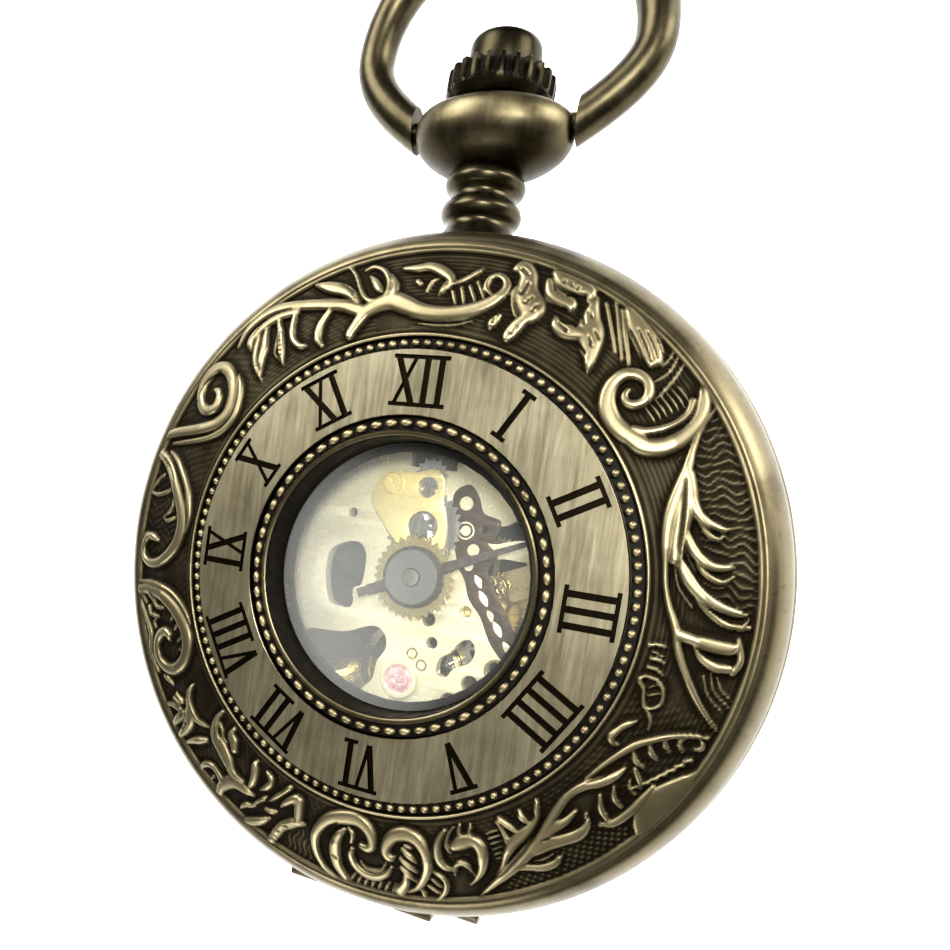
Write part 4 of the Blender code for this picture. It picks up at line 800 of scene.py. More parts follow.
# Slits and seeds cut into the strands, in the same terms.
SLITS = [
    [(14.0, 20.65, .09), (15.4, 20.45, .09)], [(16.3, 19.9, .12), (16.2, 19.2, .15)],
    [(18.4, 19.2, .07), (17.8, 18.7, .09)], [(20.1, 18.9, .08), (19.8, 18.4, .1)],
    [(18.6, 17.2, .07), (18.2, 16.75, .08)], [(13.7, 17.3, .05), (13.5, 17.0, .08)],
    [(20.2, 20.4, .07), (21.2, 20.1, .1)], [(21.5, 21.0, .06), (21.6, 20.75, .08)],
    [(22.9, 21.0, .06), (23.0, 20.75, .08)], [(24.4, 20.95, .06), (24.2, 20.7, .07)],
    [(23.4, 20.1, .09), (24.3, 20.35, .09)], [(28.5, 19.95, .07), (29.4, 19.75, .09)],
    [(27.9, 19.45, .07), (29.0, 19.2, .09)], [(27.2, 18.95, .07), (28.4, 18.75, .08)],
    [(25.4, 18.45, .08), (27.6, 18.25, .11)], [(31.6, 19.15, .06), (32.9, 18.95, .1)],
    [(31.4, 18.7, .07), (32.8, 18.4, .1)], [(30.6, 18.05, .07), (33.0, 17.8, .09)],
    [(35.8, 20.4, .06), (38.5, 20.05, .08), (41, 19.7, .05)],
    [(36.6, 20.75, .06), (39.5, 20.35, .08), (42, 20.0, .05)],
    [(37.9, 20.98, .06), (40.5, 20.65, .08), (42.4, 20.35, .05)], [(39.4, 21.1, .05), (42.5, 20.7, .05)],
    [(53.3, 20.1, .05), (54.2, 19.3, .1), (54.2, 18.4, .12), (53.2, 17.5, .06)],
    [(63.0, 18.35, .04), (67, 17.95, .1), (71, 17.6, .12), (75, 17.3, .1), (79, 17.2, .04)],
    [(70.8, 18.15, .04), (73.5, 18.25, .07), (76.4, 18.75, .04)],
    [(78.4, 17.75, .04), (82, 18.4, .1), (84.2, 19.2, .06)], [(72.3, 19.0, .05), (73.1, 19.35, .08)],
    [(79.6, 18.8, .06), (80.1, 19.4, .08)], [(86.0, 18.9, .06), (87.1, 19.7, .1), (87.0, 20.2, .06)],
    [(119.5, 17.75, .05), (122.3, 17.6, .09), (124.8, 17.25, .05)],
    [(130.3, 18.85, .05), (132.5, 18.98, .08), (135.0, 18.7, .09), (137.4, 18.7, .05)],
    [(138.2, 18.68, .07), (139.2, 18.7, .07)],
    [(135.5, 17.35, .05), (139, 17.95, .09), (143, 18.7, .1), (146.5, 19.3, .1), (150.5, 20.05, .05)],
    [(153.6, 19.1, .06), (153.6, 18.5, .1), (155, 18.1, .1), (157, 18.2, .06)],
    [(165.9, 19.8, .04), (164.9, 18.9, .08), (165.1, 18.0, .09), (166.2, 17.5, .09), (168, 17.35, .09),
     (169.6, 17.7, .09), (170.2, 18.3, .05)],
    [(177.9, 17.8, .06), (177.7, 17.2, .08)], [(183.2, 19.7, .07), (184.2, 19.6, .07)],
    [(184.6, 18.9, .05), (184.6, 18.3, .08)],
    [(186.2, 20.3, .04), (187.1, 19.4, .07), (187.1, 18.5, .08), (186.1, 17.7, .08), (184, 17.05, .07)],
    [(197.1, 21.1, .07), (198.0, 21.1, .07)], [(197.0, 20.7, .07), (197.9, 20.7, .07)],
    [(196.7, 20.1, .08), (197.6, 20.15, .08)], [(195.2, 19.3, .08), (196.1, 19.35, .08)],
    [(213.4, 19.7, .09), (213.9, 19.0, .1)], [(216.0, 20.9, .1), (216.1, 20.6, .1)],
    [(219.6, 17.7, .07), (221.2, 17.3, .07)], [(220.4, 18.1, .05), (222.2, 17.6, .06)],
    [(226.8, 20.8, .05), (227.4, 19.9, .08)], [(229.9, 20.6, .05), (229.6, 19.9, .07)],
    [(231.2, 18.9, .05), (233.0, 18.3, .06)],
    [(286.3, 20.7, .05), (285.2, 19.7, .07), (283.4, 18.9, .07)],
    [(302.0, 20.6, .05), (304.5, 20.72, .09), (307, 20.5, .09), (308.7, 20.1, .05)],
    [(306.6, 19.7, .05), (307.6, 19.1, .08), (307.2, 18.3, .09), (305.0, 17.95, .09),
     (302.2, 17.95, .05)],
    [(300.6, 20.4, .05), (300.2, 20.0, .06)],
    [(318.2, 20.35, .04), (321, 20.75, .08), (325, 20.6, .07), (328, 20.2, .04)],
    [(319.2, 19.3, .04), (317.4, 18.5, .07), (316.2, 17.9, .04)],
    [(324.5, 19.2, .04), (323.6, 18.3, .06), (322.6, 17.4, .04)],
    [(339.4, 20.2, .04), (341.6, 19.4, .09), (342.4, 18.7, .05)],
    [(346.6, 20.3, .04), (348.2, 19.6, .08), (348.6, 19.0, .05)],
]

# The relief's grid, and its heights in millimetres. STRAND_SWELL widens every strand.
RELIEF_ROWS, RELIEF_STEPS, RELIEF_SKIN = 82, 980, 0.3
STRAND_RISE, STRAND_SWELL, SLIT_DEPTH = 0.42, 1.42, 0.30
STEPS_PER_SPAN, THINNEST = 6, 0.02
RINGS_HIGH, RINGS_APART, PLAIN_HIGH = 0.055, 0.27, 0.015

# Patches of ground as (first degree, last degree, inner radius, outer radius).
BEYOND = 99
DASHED = (100, 340, 16.3, BEYOND)
DOTTED = (126, 154, 19.3, BEYOND)
BARK = (188.5, 195, 18.5, BEYOND)
WAVY = (55, 87, 18.4, BEYOND)
PEBBLED = (264, 286, 17.3, BEYOND)
FAINT = (86, 104, 17.6, BEYOND)
PLAIN_GROUNDS = [
    (124.5, 135, 17.3, 19.3), (174, 178.3, 18.3, 19.4), (224, 238.5, 16.2, 18.2), (260, 263.4, 16.2, 21.4),
    (287, 291, 18.6, 21.4), (150, 160, 19.4, 21.3), (160, 176, 16.05, 16.3), (346.5, 355, 16.1, 17.2),
]

# A low mound at the rim, and the ridges round the band as (radius, half-width, rise).
CRESCENT = [(112.0, 21.4, .1), (115, 21.1, .45), (119, 20.85, .8), (123, 20.95, .7), (126.2, 21.4, .15)]
CRESCENT_RISE = 0.34
RIDGES = ((15.6, 0.15, 0.30), (16.0, 0.07, 0.08), (RELIEF_OUT, 0.3, 0.26))


def between(a, b, c, d, t):
    """The smooth curve from b to c, with a before them and d after them, doubled."""
    return 2 * b + (c - a) * t + (2 * a - 5 * b + 4 * c - d) * t**2 + (3 * b - a - 3 * c + d) * t**3


def smooth_run(points):
    """A curve through given points, as (x, y, half-width) in millimetres."""
    run = np.array(points, dtype=float)
    if len(run) > 2:
        ends = np.vstack([2 * run[0] - run[1], run, 2 * run[-1] - run[-2]])
        t = np.linspace(0.0, 1.0, STEPS_PER_SPAN, endpoint=False)[:, None]
        spans = [0.5 * between(a, b, c, d, t) for a, b, c, d in zip(ends, ends[1:], ends[2:], ends[3:])]
        run = np.vstack(spans + [run[-1:]])
    clock = np.radians(run[:, 0])
    width = np.maximum(run[:, 2], THINNEST)
    return np.stack([run[:, 1] * np.sin(clock), run[:, 1] * np.cos(clock), width], axis=1)


def press(field, x, y, points, rise, fullness, swell=1.0):
    """Raises a rounded strand on the field, keeping whatever is already higher."""
    run = smooth_run(points)
    run[:, 2] *= swell
    margin = run[:, 2].max()
    near = (
        (x > run[:, 0].min() - margin) & (x < run[:, 0].max() + margin)
        & (y > run[:, 1].min() - margin) & (y < run[:, 1].max() + margin)
    )
    px, py = x[near], y[near]
    best = np.zeros(px.shape)
    for (ax, ay, aw), (bx, by, bw) in zip(run, run[1:]):
        dx, dy = bx - ax, by - ay
        length = max(dx * dx + dy * dy, 1e-9)
        t = np.clip(((px - ax) * dx + (py - ay) * dy) / length, 0.0, 1.0)
        reach = np.hypot(px - ax - t * dx, py - ay - t * dy)
        half = aw + (bw - aw) * t
        share = np.clip(1.0 - (reach / half) ** 3, 0.0, 1.0) ** fullness
        best = np.maximum(best, share * rise * np.minimum(1.0, 0.3 + half / 0.5))
    field[near] = np.maximum(field[near], best)


def softened(field, rows, columns):
    """The mean height round each point, for telling ridges from hollows."""
    total = np.zeros(field.shape)
    padded = np.pad(field, ((rows, rows), (0, 0)), mode="edge")
    for i in range(2 * rows + 1):
        total += padded[i:i + field.shape[0]]
    total /= 2 * rows + 1
    turned = sum(np.roll(total, k, axis=1) for k in range(-columns, columns + 1))
    return turned / (2 * columns + 1)


def within(radius, degree, patch):
    first, last, inner, outer = patch
    return (degree > first) & (degree < last) & (radius > inner) & (radius < outer)


def patterned_ground(radius, degree, raised):
    """Fine rings all round, with patches of other patterns behind the foliage."""
    angle = np.radians(degree)
    ground = RINGS_HIGH * (0.5 + 0.5 * np.cos(FULL_TURN * (radius - 16.12) / RINGS_APART))
    dashes = ground * (0.6 + 0.4 * np.cos(angle * 190 + radius * 9))
    dots = np.cos(angle * 240) * np.cos(FULL_TURN * radius / 0.5)
    bark = np.cos(angle * 300 + 2.0 * np.sin(radius * 4.0))
    swirl = 0.42 * np.sin(radius * 3.3 + degree * 0.45) + 0.25 * np.sin(radius * 6.1 - degree * 0.3)
    waves = np.cos(FULL_TURN * (degree + 0.9 * (21.2 - radius) + swirl) / 1.5)
    pebbles = np.cos(angle * 200 + 3 * np.sin(radius * 3)) * np.cos(radius * 13 + degree * 0.35)
    for patch, pattern in (
        (DASHED, dashes),
        (DOTTED, 0.14 * np.clip(dots, 0, 1)),
        (BARK, 0.10 * np.clip(bark, 0, 1)),
        (WAVY, 0.13 * np.clip(waves, 0, 1) ** 1.5),
        (PEBBLED, 0.08 * np.clip(pebbles, 0, 1)),
    ):
        ground = np.where(within(radius, degree, patch), pattern, ground)
    for patch in PLAIN_GROUNDS:
        ground = np.where(within(radius, degree, patch), PLAIN_HIGH, ground)
    faint = within(radius, degree, FAINT) & (raised < 0.02)
    return np.where(faint, ground * 0.3, ground)


def emboss():
    """Height above the ground, and a tone that joins real rubbing with painted shade and highlight, for each row
    and step of the relief.
    """
    radius = np.linspace(RELIEF_IN, RELIEF_OUT, RELIEF_ROWS)[:, None] + np.zeros((1, RELIEF_STEPS))
    degree = np.arange(RELIEF_STEPS)[None, :] * 360.0 / RELIEF_STEPS + np.zeros((RELIEF_ROWS, 1))
    x, y = radius * np.sin(np.radians(degree)), radius * np.cos(np.radians(degree))
    raised, carved, crescent = np.zeros(x.shape), np.zeros(x.shape), np.zeros(x.shape)
    for strand in STRANDS:
        press(raised, x, y, strand, STRAND_RISE, 0.6, STRAND_SWELL)
    for slit in SLITS:
        press(carved, x, y, slit, SLIT_DEPTH, 0.7)
    press(crescent, x, y, CRESCENT, CRESCENT_RISE, 0.12)

    ground = patterned_ground(radius, degree, raised)
    height = np.maximum(raised, ground) - np.where(raised > 0.05, carved, 0.0)
    height = np.maximum(height, crescent)
    for middle, half, rise in RIDGES:
        ridge = rise * np.clip(1.0 - ((radius - middle) / half) ** 2, 0.0, 1.0) ** 0.5
        height = np.maximum(height, ridge)
    # Painted shade and highlight: the tone darkens where a point lies below the mean of its neighbours and
    # brightens where it stands above it, on top of real patina and rubbing.
    proud = height - softened(height, 4, 4)
    wear_and_shade = 0.27 + 1.7 * proud + 0.42 * np.clip(height / STRAND_RISE, 0, 1)
    return height, np.clip(wear_and_shade, 0.0, 1.0)


def ground_height(radius):
    return np.interp(radius, [RELIEF_IN, 18.6, RELIEF_OUT], [12.68, 12.12, 11.05])


def make_relief(material):
    """The embossed band: a turned ring, whose top is raised point by point."""
    rows = np.linspace(RELIEF_IN, RELIEF_OUT, RELIEF_ROWS)
    profile = [(r, float(ground_height(r))) for r in rows]
    profile += [(RELIEF_OUT, profile[-1][1] - RELIEF_SKIN), (RELIEF_IN, profile[0][1] - RELIEF_SKIN)]
    shape = turned_shape(profile, RELIEF_STEPS)
    piece = finish_piece(shape, "lid_relief", "front_cover", [material], sharp=180.0)
    mesh = piece.data
    spots = np.empty(len(mesh.vertices) * 3)
    mesh.vertices.foreach_get("co", spots)
    spots = spots.reshape(-1, 3)
    radius = np.hypot(spots[:, 0], spots[:, 1]) / MM
    clock = np.degrees(np.arctan2(spots[:, 0], spots[:, 1]))
    step = np.round(clock * RELIEF_STEPS / 360.0).astype(int) % RELIEF_STEPS
    row = np.clip(np.round((radius - RELIEF_IN) / (rows[1] - rows[0])).astype(int), 0, RELIEF_ROWS - 1)
    on_top = np.abs(spots[:, 2] / MM - ground_height(radius)) < RELIEF_SKIN / 3
    height, wear_and_shade = emboss()
    spots[:, 2] += np.where(on_top, height[row, step] * MM, 0.0)
    mesh.vertices.foreach_set("co", spots.ravel())
    # This attribute carries real rubbing together with painted shade and highlight.
    worn_and_shaded = mesh.attributes.new("worn_and_shaded", "FLOAT", "POINT")
    worn_and_shaded.data.foreach_set("value", np.where(on_top, wear_and_shade[row, step], 0.0))
    mesh.update()


# ---------------------------------------------------------------- the lid
def stays_black(middle):
    """Whether a face of the lid lies in a channel of beads or on the window's wall, whose black is painted shade.
    """
    radius = math.hypot(middle.x, middle.y)
    in_channel = middle.z > 12.2 and (9.49 < radius < 10.5 or 14.6 < radius < 15.5)
    # Painted shade: the window's inner wall is made black for the shadow in the gap over the movement.
    on_wall = radius < 9.12 and middle.z < 13.2
    return in_channel or on_wall


def make_lid(finishes):
    rim = rounded(
        [
            (RELIEF_OUT, 11.25), (21.7, 11.3), (22.15, 11.1), (22.65, 10.6), (23.05, 9.95), (LID_R, 9.4),
            (LID_R, 9.12), (LID_R - 0.12, LID_SEAM),
        ],
        0.4, 3,
    )
    profile = [
        (WINDOW_R, 10.4), (WINDOW_R, 13.1), (9.14, 13.24), (9.24, 13.3), (9.38, 13.3), (9.48, 13.22),
        (9.5, 12.95), (9.55, 12.8), (10.35, 12.8), (10.38, 12.5), (14.66, 12.5), (14.7, 12.62),
        (15.4, 12.55), (15.42, 12.3), (18.6, 11.7), (RELIEF_OUT - 0.02, 10.7),
    ] + rim + [
        (22.1, LID_SEAM), (22.05, 9.8), (21.3, 10.35), (15.5, 11.6), (9.75, 11.7), (9.75, 10.4),
    ]
    shape = turned_shape(profile, 320)
    flatten_at_hinge(shape)
    for face in shape.faces:
        face.material_index = int(stays_black(face.calc_center_median() / MM))
    finish_piece(
        shape, "lid_shell", "front_cover", [finishes["bronze"], finishes["black"]],
        replaces=("front_cover",),
    )
    make_relief(finishes["embossed"])
    make_beads("outer_beads", 120, 0.0, (0.285, 0.285, 0.285), 15.04, 12.72, finishes)
    make_beads("inner_beads", 60, 0.5, (0.43, 0.27, 0.24), 9.97, 12.93, finishes)


def make_beads(name, count, first, half_sizes, radius, height, finishes):
    """A ring of beads: half sizes are along the ring, outwards and up, in millimetres."""
    shape = bmesh.new()
    for i in range(count):
        turn = Matrix.Rotation(FULL_TURN * (i + first) / count, 4, "Z")
        new = bmesh.ops.create_icosphere(shape, subdivisions=2, radius=MM)["verts"]
        bmesh.ops.scale(shape, verts=new, vec=half_sizes)
        out = Matrix.Translation((0, radius * MM, height * MM))
        bmesh.ops.transform(shape, verts=new, matrix=turn @ out)
    finish_piece(shape, name, "front_cover", [finishes["bead"]], sharp=180)


NUMERALS = ("XII", "I", "II", "III", "IIII", "V", "VI", "VII", "VIII", "IX", "X", "XI")
NUMERAL_TOP, NUMERAL_FOOT = 14.08, 11.08
LETTER_WIDTH = {"I": 0.95, "V": 1.75, "X": 1.78}
BAR, HAIRLINE, SERIF, ENGRAVED = 0.42, 0.26, 0.27, 0.14


def add_bar(shape, start, end, width):
    """A flat bar between two points, as a cutter for the engraving."""
    start, end = Vector(start), Vector(end)
    run = end - start
    low = (-width / 2, -run.length / 2, FACE_Z - ENGRAVED)
    high = (width / 2, run.length / 2, FACE_Z + 0.3)
    new = add_block(shape, low, high)
    turn = Matrix.Rotation(math.atan2(run.y, run.x) - QUARTER_TURN, 4, "Z")
    place = Matrix.Translation(((start + end) / 2).to_3d() * MM)
    bmesh.ops.transform(shape, verts=new, matrix=place @ turn)
    return new


def add_numeral(shape, text, clock):
    """Cuts one numeral with its top outwards."""
    top, foot = NUMERAL_TOP, NUMERAL_FOOT
    left = -sum(LETTER_WIDTH[letter] for letter in text) / 2
    new = []
    for letter in text:
        width = LETTER_WIDTH[letter]
        middle = left + width / 2
        if letter == "I":
            new += add_bar(shape, (middle, foot), (middle, top), BAR)
        elif letter == "X":
            new += add_bar(shape, (middle - 0.62, top), (middle + 0.62, foot), BAR)
            new += add_bar(shape, (middle + 0.6, top), (middle - 0.6, foot), HAIRLINE)
        else:
            new += add_bar(shape, (middle - 0.55, top), (middle + 0.04, foot), BAR)
            new += add_bar(shape, (middle + 0.55, top), (middle + 0.06, foot), HAIRLINE)
        spread = 0.5 if letter == "I" else width / 2 + 0.06
        new += add_bar(shape, (middle - spread, top), (middle + spread, top), SERIF)
        if letter != "V":
            new += add_bar(shape, (middle - spread, foot), (middle + spread, foot), SERIF)
        left += width
    turn = Matrix.Rotation(-FULL_TURN * clock / 12, 4, "Z")
    bmesh.ops.transform(shape, verts=new, matrix=turn)


def make_chapter_ring(finishes):
    profile = [
        (CHAPTER_IN, 12.55), (CHAPTER_IN, 13.1), (CHAPTER_IN + 0.08, FACE_Z), (CHAPTER_OUT - 0.08, FACE_Z),
        (CHAPTER_OUT, 13.1), (CHAPTER_OUT, 12.55),
    ]
    shape = turned_shape(profile, 256)
    ring = finish_piece(shape, "chapter_ring", "front_cover", [finishes["chapter"]], sharp=30)
    cutter = bmesh.new()
    for clock, text in enumerate(NUMERALS):
        add_numeral(cutter, text, clock)
    cut_away(ring, cutter)
    ring.data.set_sharp_from_angle(angle=math.radians(30))


def make_window(finishes):
    crown = rounded([(0.0, 11.16), (8.3, 11.12), (8.98, 10.92), (9.0, 10.5)], 0.3, 3)
    shape = turned_shape(crown + [(8.9, 10.45), (0.0, 10.45)], 160)
    finish_piece(
        shape, "window_crystal", "front_cover", [finishes["window"]], replaces=("window_glass",)
    )


# ---------------------------------------------------------------- case, hinge and back
def make_band(finishes):
    profile = rounded(
        [
            (20.9, 8.9), (22.9, 8.9), (23.42, 8.55), (CASE_R, 7.7), (23.3, 7.0), (23.22, 6.45), (23.3, 5.9),
            (CASE_R, 5.2), (23.42, 4.35), (22.9, 4.0), (20.9, 4.0),
        ],
        0.3, 2,
    )
    shape = turned_shape(profile, 320)
    band = finish_piece(shape, "band_shell", "case", [finishes["bronze"]], replaces=("case_band",))
    reach = KNUCKLE_ENDS[-1] + KNUCKLE_GAP
    notch = bmesh.new()
    add_block(notch, (-reach, -26.0, 3.0), (reach, -21.7, 10.0))
    cut_away(band, notch)
    drill(band, 0.75, 6, "X", (0, 22, STEM_Z))
    band.data.set_sharp_from_angle(angle=math.radians(SHARP))


def make_back(finishes):
    back = rounded(
        [
            (22.0, 3.88), (LID_R - 0.12, 3.88), (LID_R, 3.7), (LID_R, 3.4), (22.8, 2.5), (21.6, 1.35),
            (19.5, 0.62), (17.2, 0.2), (15.0, 0.0), (12.6, 0.0),
        ],
        0.35, 3,
    )
    for groove in (12.2, 11.6):
        back += [(groove + 0.1, 0.0), (groove, 0.1), (groove - 0.1, 0.0)]
    back += [(0.0, 0.0), (0.0, 0.8), (14.5, 0.8), (21.2, 2.1)]
    shape = turned_shape(back, 288)
    flatten_at_hinge(shape)
    finish_piece(shape, "back_shell", "back_cover", [finishes["bronze"]], replaces=("back_cover",))


def make_knuckle(name, body, start, end, finishes, rim_z=None):
    """One barrel of the hinge, with an arm that reaches the band, or its cover's rim at rim_z."""
    shape = bmesh.new()
    profile = [
        (HINGE_BORE, start), (HINGE_R - SOFT_EDGE, start), (HINGE_R, start + SOFT_EDGE),
        (HINGE_R, end - SOFT_EDGE), (HINGE_R - SOFT_EDGE, end), (HINGE_BORE, end),
    ]
    turn_profile(shape, profile, 48)
    turn = Matrix.Rotation(QUARTER_TURN, 3, "Y")
    bmesh.ops.rotate(shape, verts=shape.verts, cent=(0, 0, 0), matrix=turn)
    bmesh.ops.translate(shape, verts=shape.verts, vec=(0, HINGE_Y * MM, HINGE_Z * MM))
    if rim_z is None:
        low, high = (start, HINGE_Y + 0.45, HINGE_Z - 0.6), (end, -21.5, HINGE_Z + 0.6)
    elif rim_z > HINGE_Z:
        low, high = (start, HINGE_Y - 0.3, HINGE_Z + 0.5), (end, HINGE_Y + 0.7, rim_z)
    else:
        low, high = (start, HINGE_Y - 0.3, rim_z), (end, HINGE_Y + 0.7, HINGE_Z - 0.5)
    arm = add_block(shape, low, high)
    edges = list({edge for vert in arm for edge in vert.link_edges})
    bmesh.ops.bevel(
        shape, geom=edges, offset=SOFT_EDGE * MM, segments=2, profile=0.5, affect="EDGES", material=-1
    )
    finish_piece(shape, name, body, [finishes["plain"]])


def make_hinge(finishes):
    bodies = ("case", "front_cover", "back_cover", "front_cover", "case")
    rims = (None, LID_SEAM + 0.7, 3.2, LID_SEAM + 0.7, None)
    for i, (body, rim) in enumerate(zip(bodies, rims)):
        start, end = KNUCKLE_ENDS[i] + KNUCKLE_GAP, KNUCKLE_ENDS[i + 1] - KNUCKLE_GAP
        make_knuckle(f"hinge_barrel_{i + 1}", body, start, end, finishes, rim)


# ---------------------------------------------------------------- pendant, crown and bow
def make_pendant(finishes):
    neck = rounded(
        [
            (0.75, 23.0), (3.1, 23.0), (2.9, 23.5), (2.35, 24.3), (2.3, 24.75), (2.68, 25.05), (2.82, 25.5),
            (2.68, 25.95), (2.25, 26.25), (2.22, 26.75), (2.66, 27.05), (2.8, 27.5), (2.62, 27.95),
            (2.3, 28.25), (2.0, 28.5), (2.0, 29.6), (0.75, 29.6),
        ],
        0.35, 3,
    )
    shape = turned_shape(neck, 96)
    lay_along_y(shape)
    finish_piece(
        shape, "pendant_neck", "case", [finishes["neck"]], sharp=50, replaces=("pendant",)
    )
    bulb = rounded(
        [
            (0.75, 28.2), (2.1, 28.2), (3.0, 28.45), (4.3, 29.05), (5.15, 29.75), (5.52, 30.45), (5.58, 31.2),
            (5.42, 31.8), (4.95, 32.15), (4.0, 32.26), (0.75, 32.26),
        ],
        0.4, 4,
    )
    shape = turned_shape(bulb, 128)
    lay_along_y(shape, BULB_FLATNESS)
    piece = finish_piece(shape, "pendant_bulb", "case", [finishes["pendant"]], sharp=50)
    for side in (-1, 1):
        drill(piece, 0.8, 4, "Y", (side * 5.1, PIVOT_Y, STEM_Z))
    piece.data.set_sharp_from_angle(angle=math.radians(50))


CROWN_R, CROWN_FLUTES, FLUTE_FOOT, FLUTE_DEPTH = 3.72, 24, 33.25, 0.5


def cut_flutes(shape):
    """Presses the valleys between the crown's teeth, and blackens their walls as painted shade."""
    for vert in shape.verts:
        x, y, z = vert.co / MM
        radius = math.hypot(x, y)
        phase = (math.atan2(y, x) * CROWN_FLUTES / FULL_TURN) % 1.0
        if radius > 3.0 and z > FLUTE_FOOT and 0.22 < phase < 0.78:
            valley = max(0.0, math.cos((phase - 0.5) * math.pi * 1.3)) ** 0.6
            fade = min(1.0, (z - FLUTE_FOOT) / 0.2)
            shrink = 1.0 - FLUTE_DEPTH * valley * fade / radius
            vert.co.x *= shrink
            vert.co.y *= shrink
    # Painted shade: faces deep in the flutes take the black material.
    for face in shape.faces:
        spots = [vert.co / MM for vert in face.verts]
        depth = CROWN_R - sum(math.hypot(spot.x, spot.y) for spot in spots) / len(spots)
        if 0.2 < depth < 0.6 and min(spot.z for spot in spots) > FLUTE_FOOT - 0.1:
            face.material_index = 1


def make_crown(finishes):
    profile = rounded(
        [
            (0.62, 32.34), (2.9, 32.34), (3.3, 32.5), (CROWN_R - 0.1, 33.0), (CROWN_R, 33.4),
            (CROWN_R, 34.55), (CROWN_R - 0.22, 34.75), (2.6, 34.8), (2.6, 33.4), (0.62, 33.4),
        ],
        0.2, 1,
    )
    shape = turned_shape(profile, CROWN_FLUTES * 8)
    cut_flutes(shape)
    lay_along_y(shape)
    finish_piece(
        shape, "fluted_crown", "crown", [finishes["crown"], finishes["black"]], sharp=28,
        replaces=("crown",),
    )
    button = rounded(
        [(0.0, 34.5), (2.48, 34.5), (2.48, 36.55), (2.3, 36.95), (1.4, 37.14), (0.0, 37.18)], 0.3, 3
    )
    shape = turned_shape(button, 96)
    lay_along_y(shape)
    finish_piece(
        shape, "button_cap", "push_button", [finishes["crown"]], sharp=35,
        replaces=("push_button",),
    )


def bow_point(share):
    """A point on the bow's wire, from one foot at 0 to the other at 1."""
    angle = math.radians(BOW_REACH) * (2 * share - 1)
    pinch = 1.0 - BOW_PINCH * max(0.0, -math.cos(angle)) ** 2
    x = BOW_HALF_WIDTH * math.sin(angle) * pinch
    return x * MM, (BOW_CENTRE_Y + BOW_HALF_HEIGHT * math.cos(angle)) * MM, STEM_Z * MM, 1


def trim_foot(shape, side):
    """Cuts one foot of the bow square beside the pendant, and closes it."""
    lower = [v for v in shape.verts if v.co.y < (BOW_CENTRE_Y - 1.0) * MM and v.co.x * side > 0]
    faces = {face for vert in lower for face in vert.link_faces}
    edges = {edge for face in faces for edge in face.edges}
    verts = {vert for face in faces for vert in face.verts}
    cut = bmesh.ops.bisect_plane(
        shape, geom=list(faces) + list(edges) + list(verts), dist=1e-8, clear_outer=True,
        plane_co=(side * BOW_END * MM, 0, 0), plane_no=(-side, 0, 0),
    )
    rim = [part for part in cut["geom_cut"] if isinstance(part, bmesh.types.BMEdge)]
    bmesh.ops.holes_fill(shape, edges=rim, sides=0)


def make_bow(finishes):
    """The swinging bow: a round wire bent to a pinched oval, with pins in the pendant."""
    curve = bpy.data.curves.new("bow_path", "CURVE")
    curve.dimensions = "3D"
    curve.bevel_depth = BOW_WIRE_R * MM
    curve.bevel_resolution = 6
    curve.use_fill_caps = True
    spline = curve.splines.new("POLY")
    spline.points.add(BOW_STEPS)
    for i, spot in enumerate(spline.points):
        spot.co = bow_point(i / BOW_STEPS)
    shape = shape_of_curve(curve)
    for side in (-1, 1):
        trim_foot(shape, side)
    turn = Matrix.Rotation(QUARTER_TURN, 4, "Y")
    for side in (-1, 1):
        bmesh.ops.create_cone(
            shape, cap_ends=True, segments=32, radius1=0.68 * MM, radius2=0.68 * MM, depth=2.6 * MM,
            matrix=Matrix.Translation((side * 4.6 * MM, PIVOT_Y * MM, STEM_Z * MM)) @ turn,
        )
    bmesh.ops.recalc_face_normals(shape, faces=shape.faces)
    finish_piece(shape, "bow_ring", "bow", [finishes["bow"]], sharp=40, replaces=("bow",))


# ---------------------------------------------------------------- dial side of the movement
PLATE_TOP = 7.7
SCREW_SPOT, SCREW_SLOT_TURN = (-2.6, 6.35), -55
JEWEL_SPOT = (-0.1, -7.4)
DIAL_RINGS = (
    (0.55, -5.4, 0.42, "gilt"), (1.35, -6.1, 0.42, "gilt"), (3.0, 3.75, 0.5, "brown"), (6.6, -5.4, 0.8, "gilt"),
)
FLAKES = ((4.4, 0.4, 0.9), (4.95, -0.75, 1.2), (5.6, -1.75, 0.7), (6.25, -2.65, 1.15), (7.1, -3.8, 1.0))


def ring_of(x, y, radius, steps=32):
    """A round outline."""
    angles = [FULL_TURN * i / steps for i in range(steps)]
    return [(x + radius * math.cos(angle), y + radius * math.sin(angle)) for angle in angles]


def flowing(points, per_span=6):
    """A closed, smooth outline through given points."""
    outline = []
    for i in range(len(points)):
        a, b, c, d = (Vector(points[(i + k) % len(points)]) for k in (-1, 0, 1, 2))
        outline += [tuple(between(a, b, c, d, j / per_span) / 2) for j in range(per_span)]
    return outline


def flat_piece(name, outlines, bottom, top, material, chamfer=0.03, replaces=()):
    """A flat plate with softened edges: the first outline is its edge, the others are its holes."""
    curve = bpy.data.curves.new(name, "CURVE")
    curve.dimensions = "2D"
    curve.fill_mode = "BOTH"
    curve.extrude = ((top - bottom) / 2 - chamfer) * MM
    curve.bevel_depth = chamfer * MM
    curve.bevel_resolution = 1
    curve.offset = -chamfer * MM
    for outline in outlines:
        spline = curve.splines.new("POLY")
        spline.points.add(len(outline) - 1)
        spline.use_cyclic_u = True
        for point, (x, y) in zip(spline.points, outline):
            point.co = (x * MM, y * MM, 0.0, 1.0)
    shape = shape_of_curve(curve)
    bmesh.ops.translate(shape, verts=shape.verts, vec=(0, 0, (top + bottom) / 2 * MM))
    bmesh.ops.recalc_face_normals(shape, faces=shape.faces)
    return finish_piece(shape, name, "case", [material], replaces=replaces)


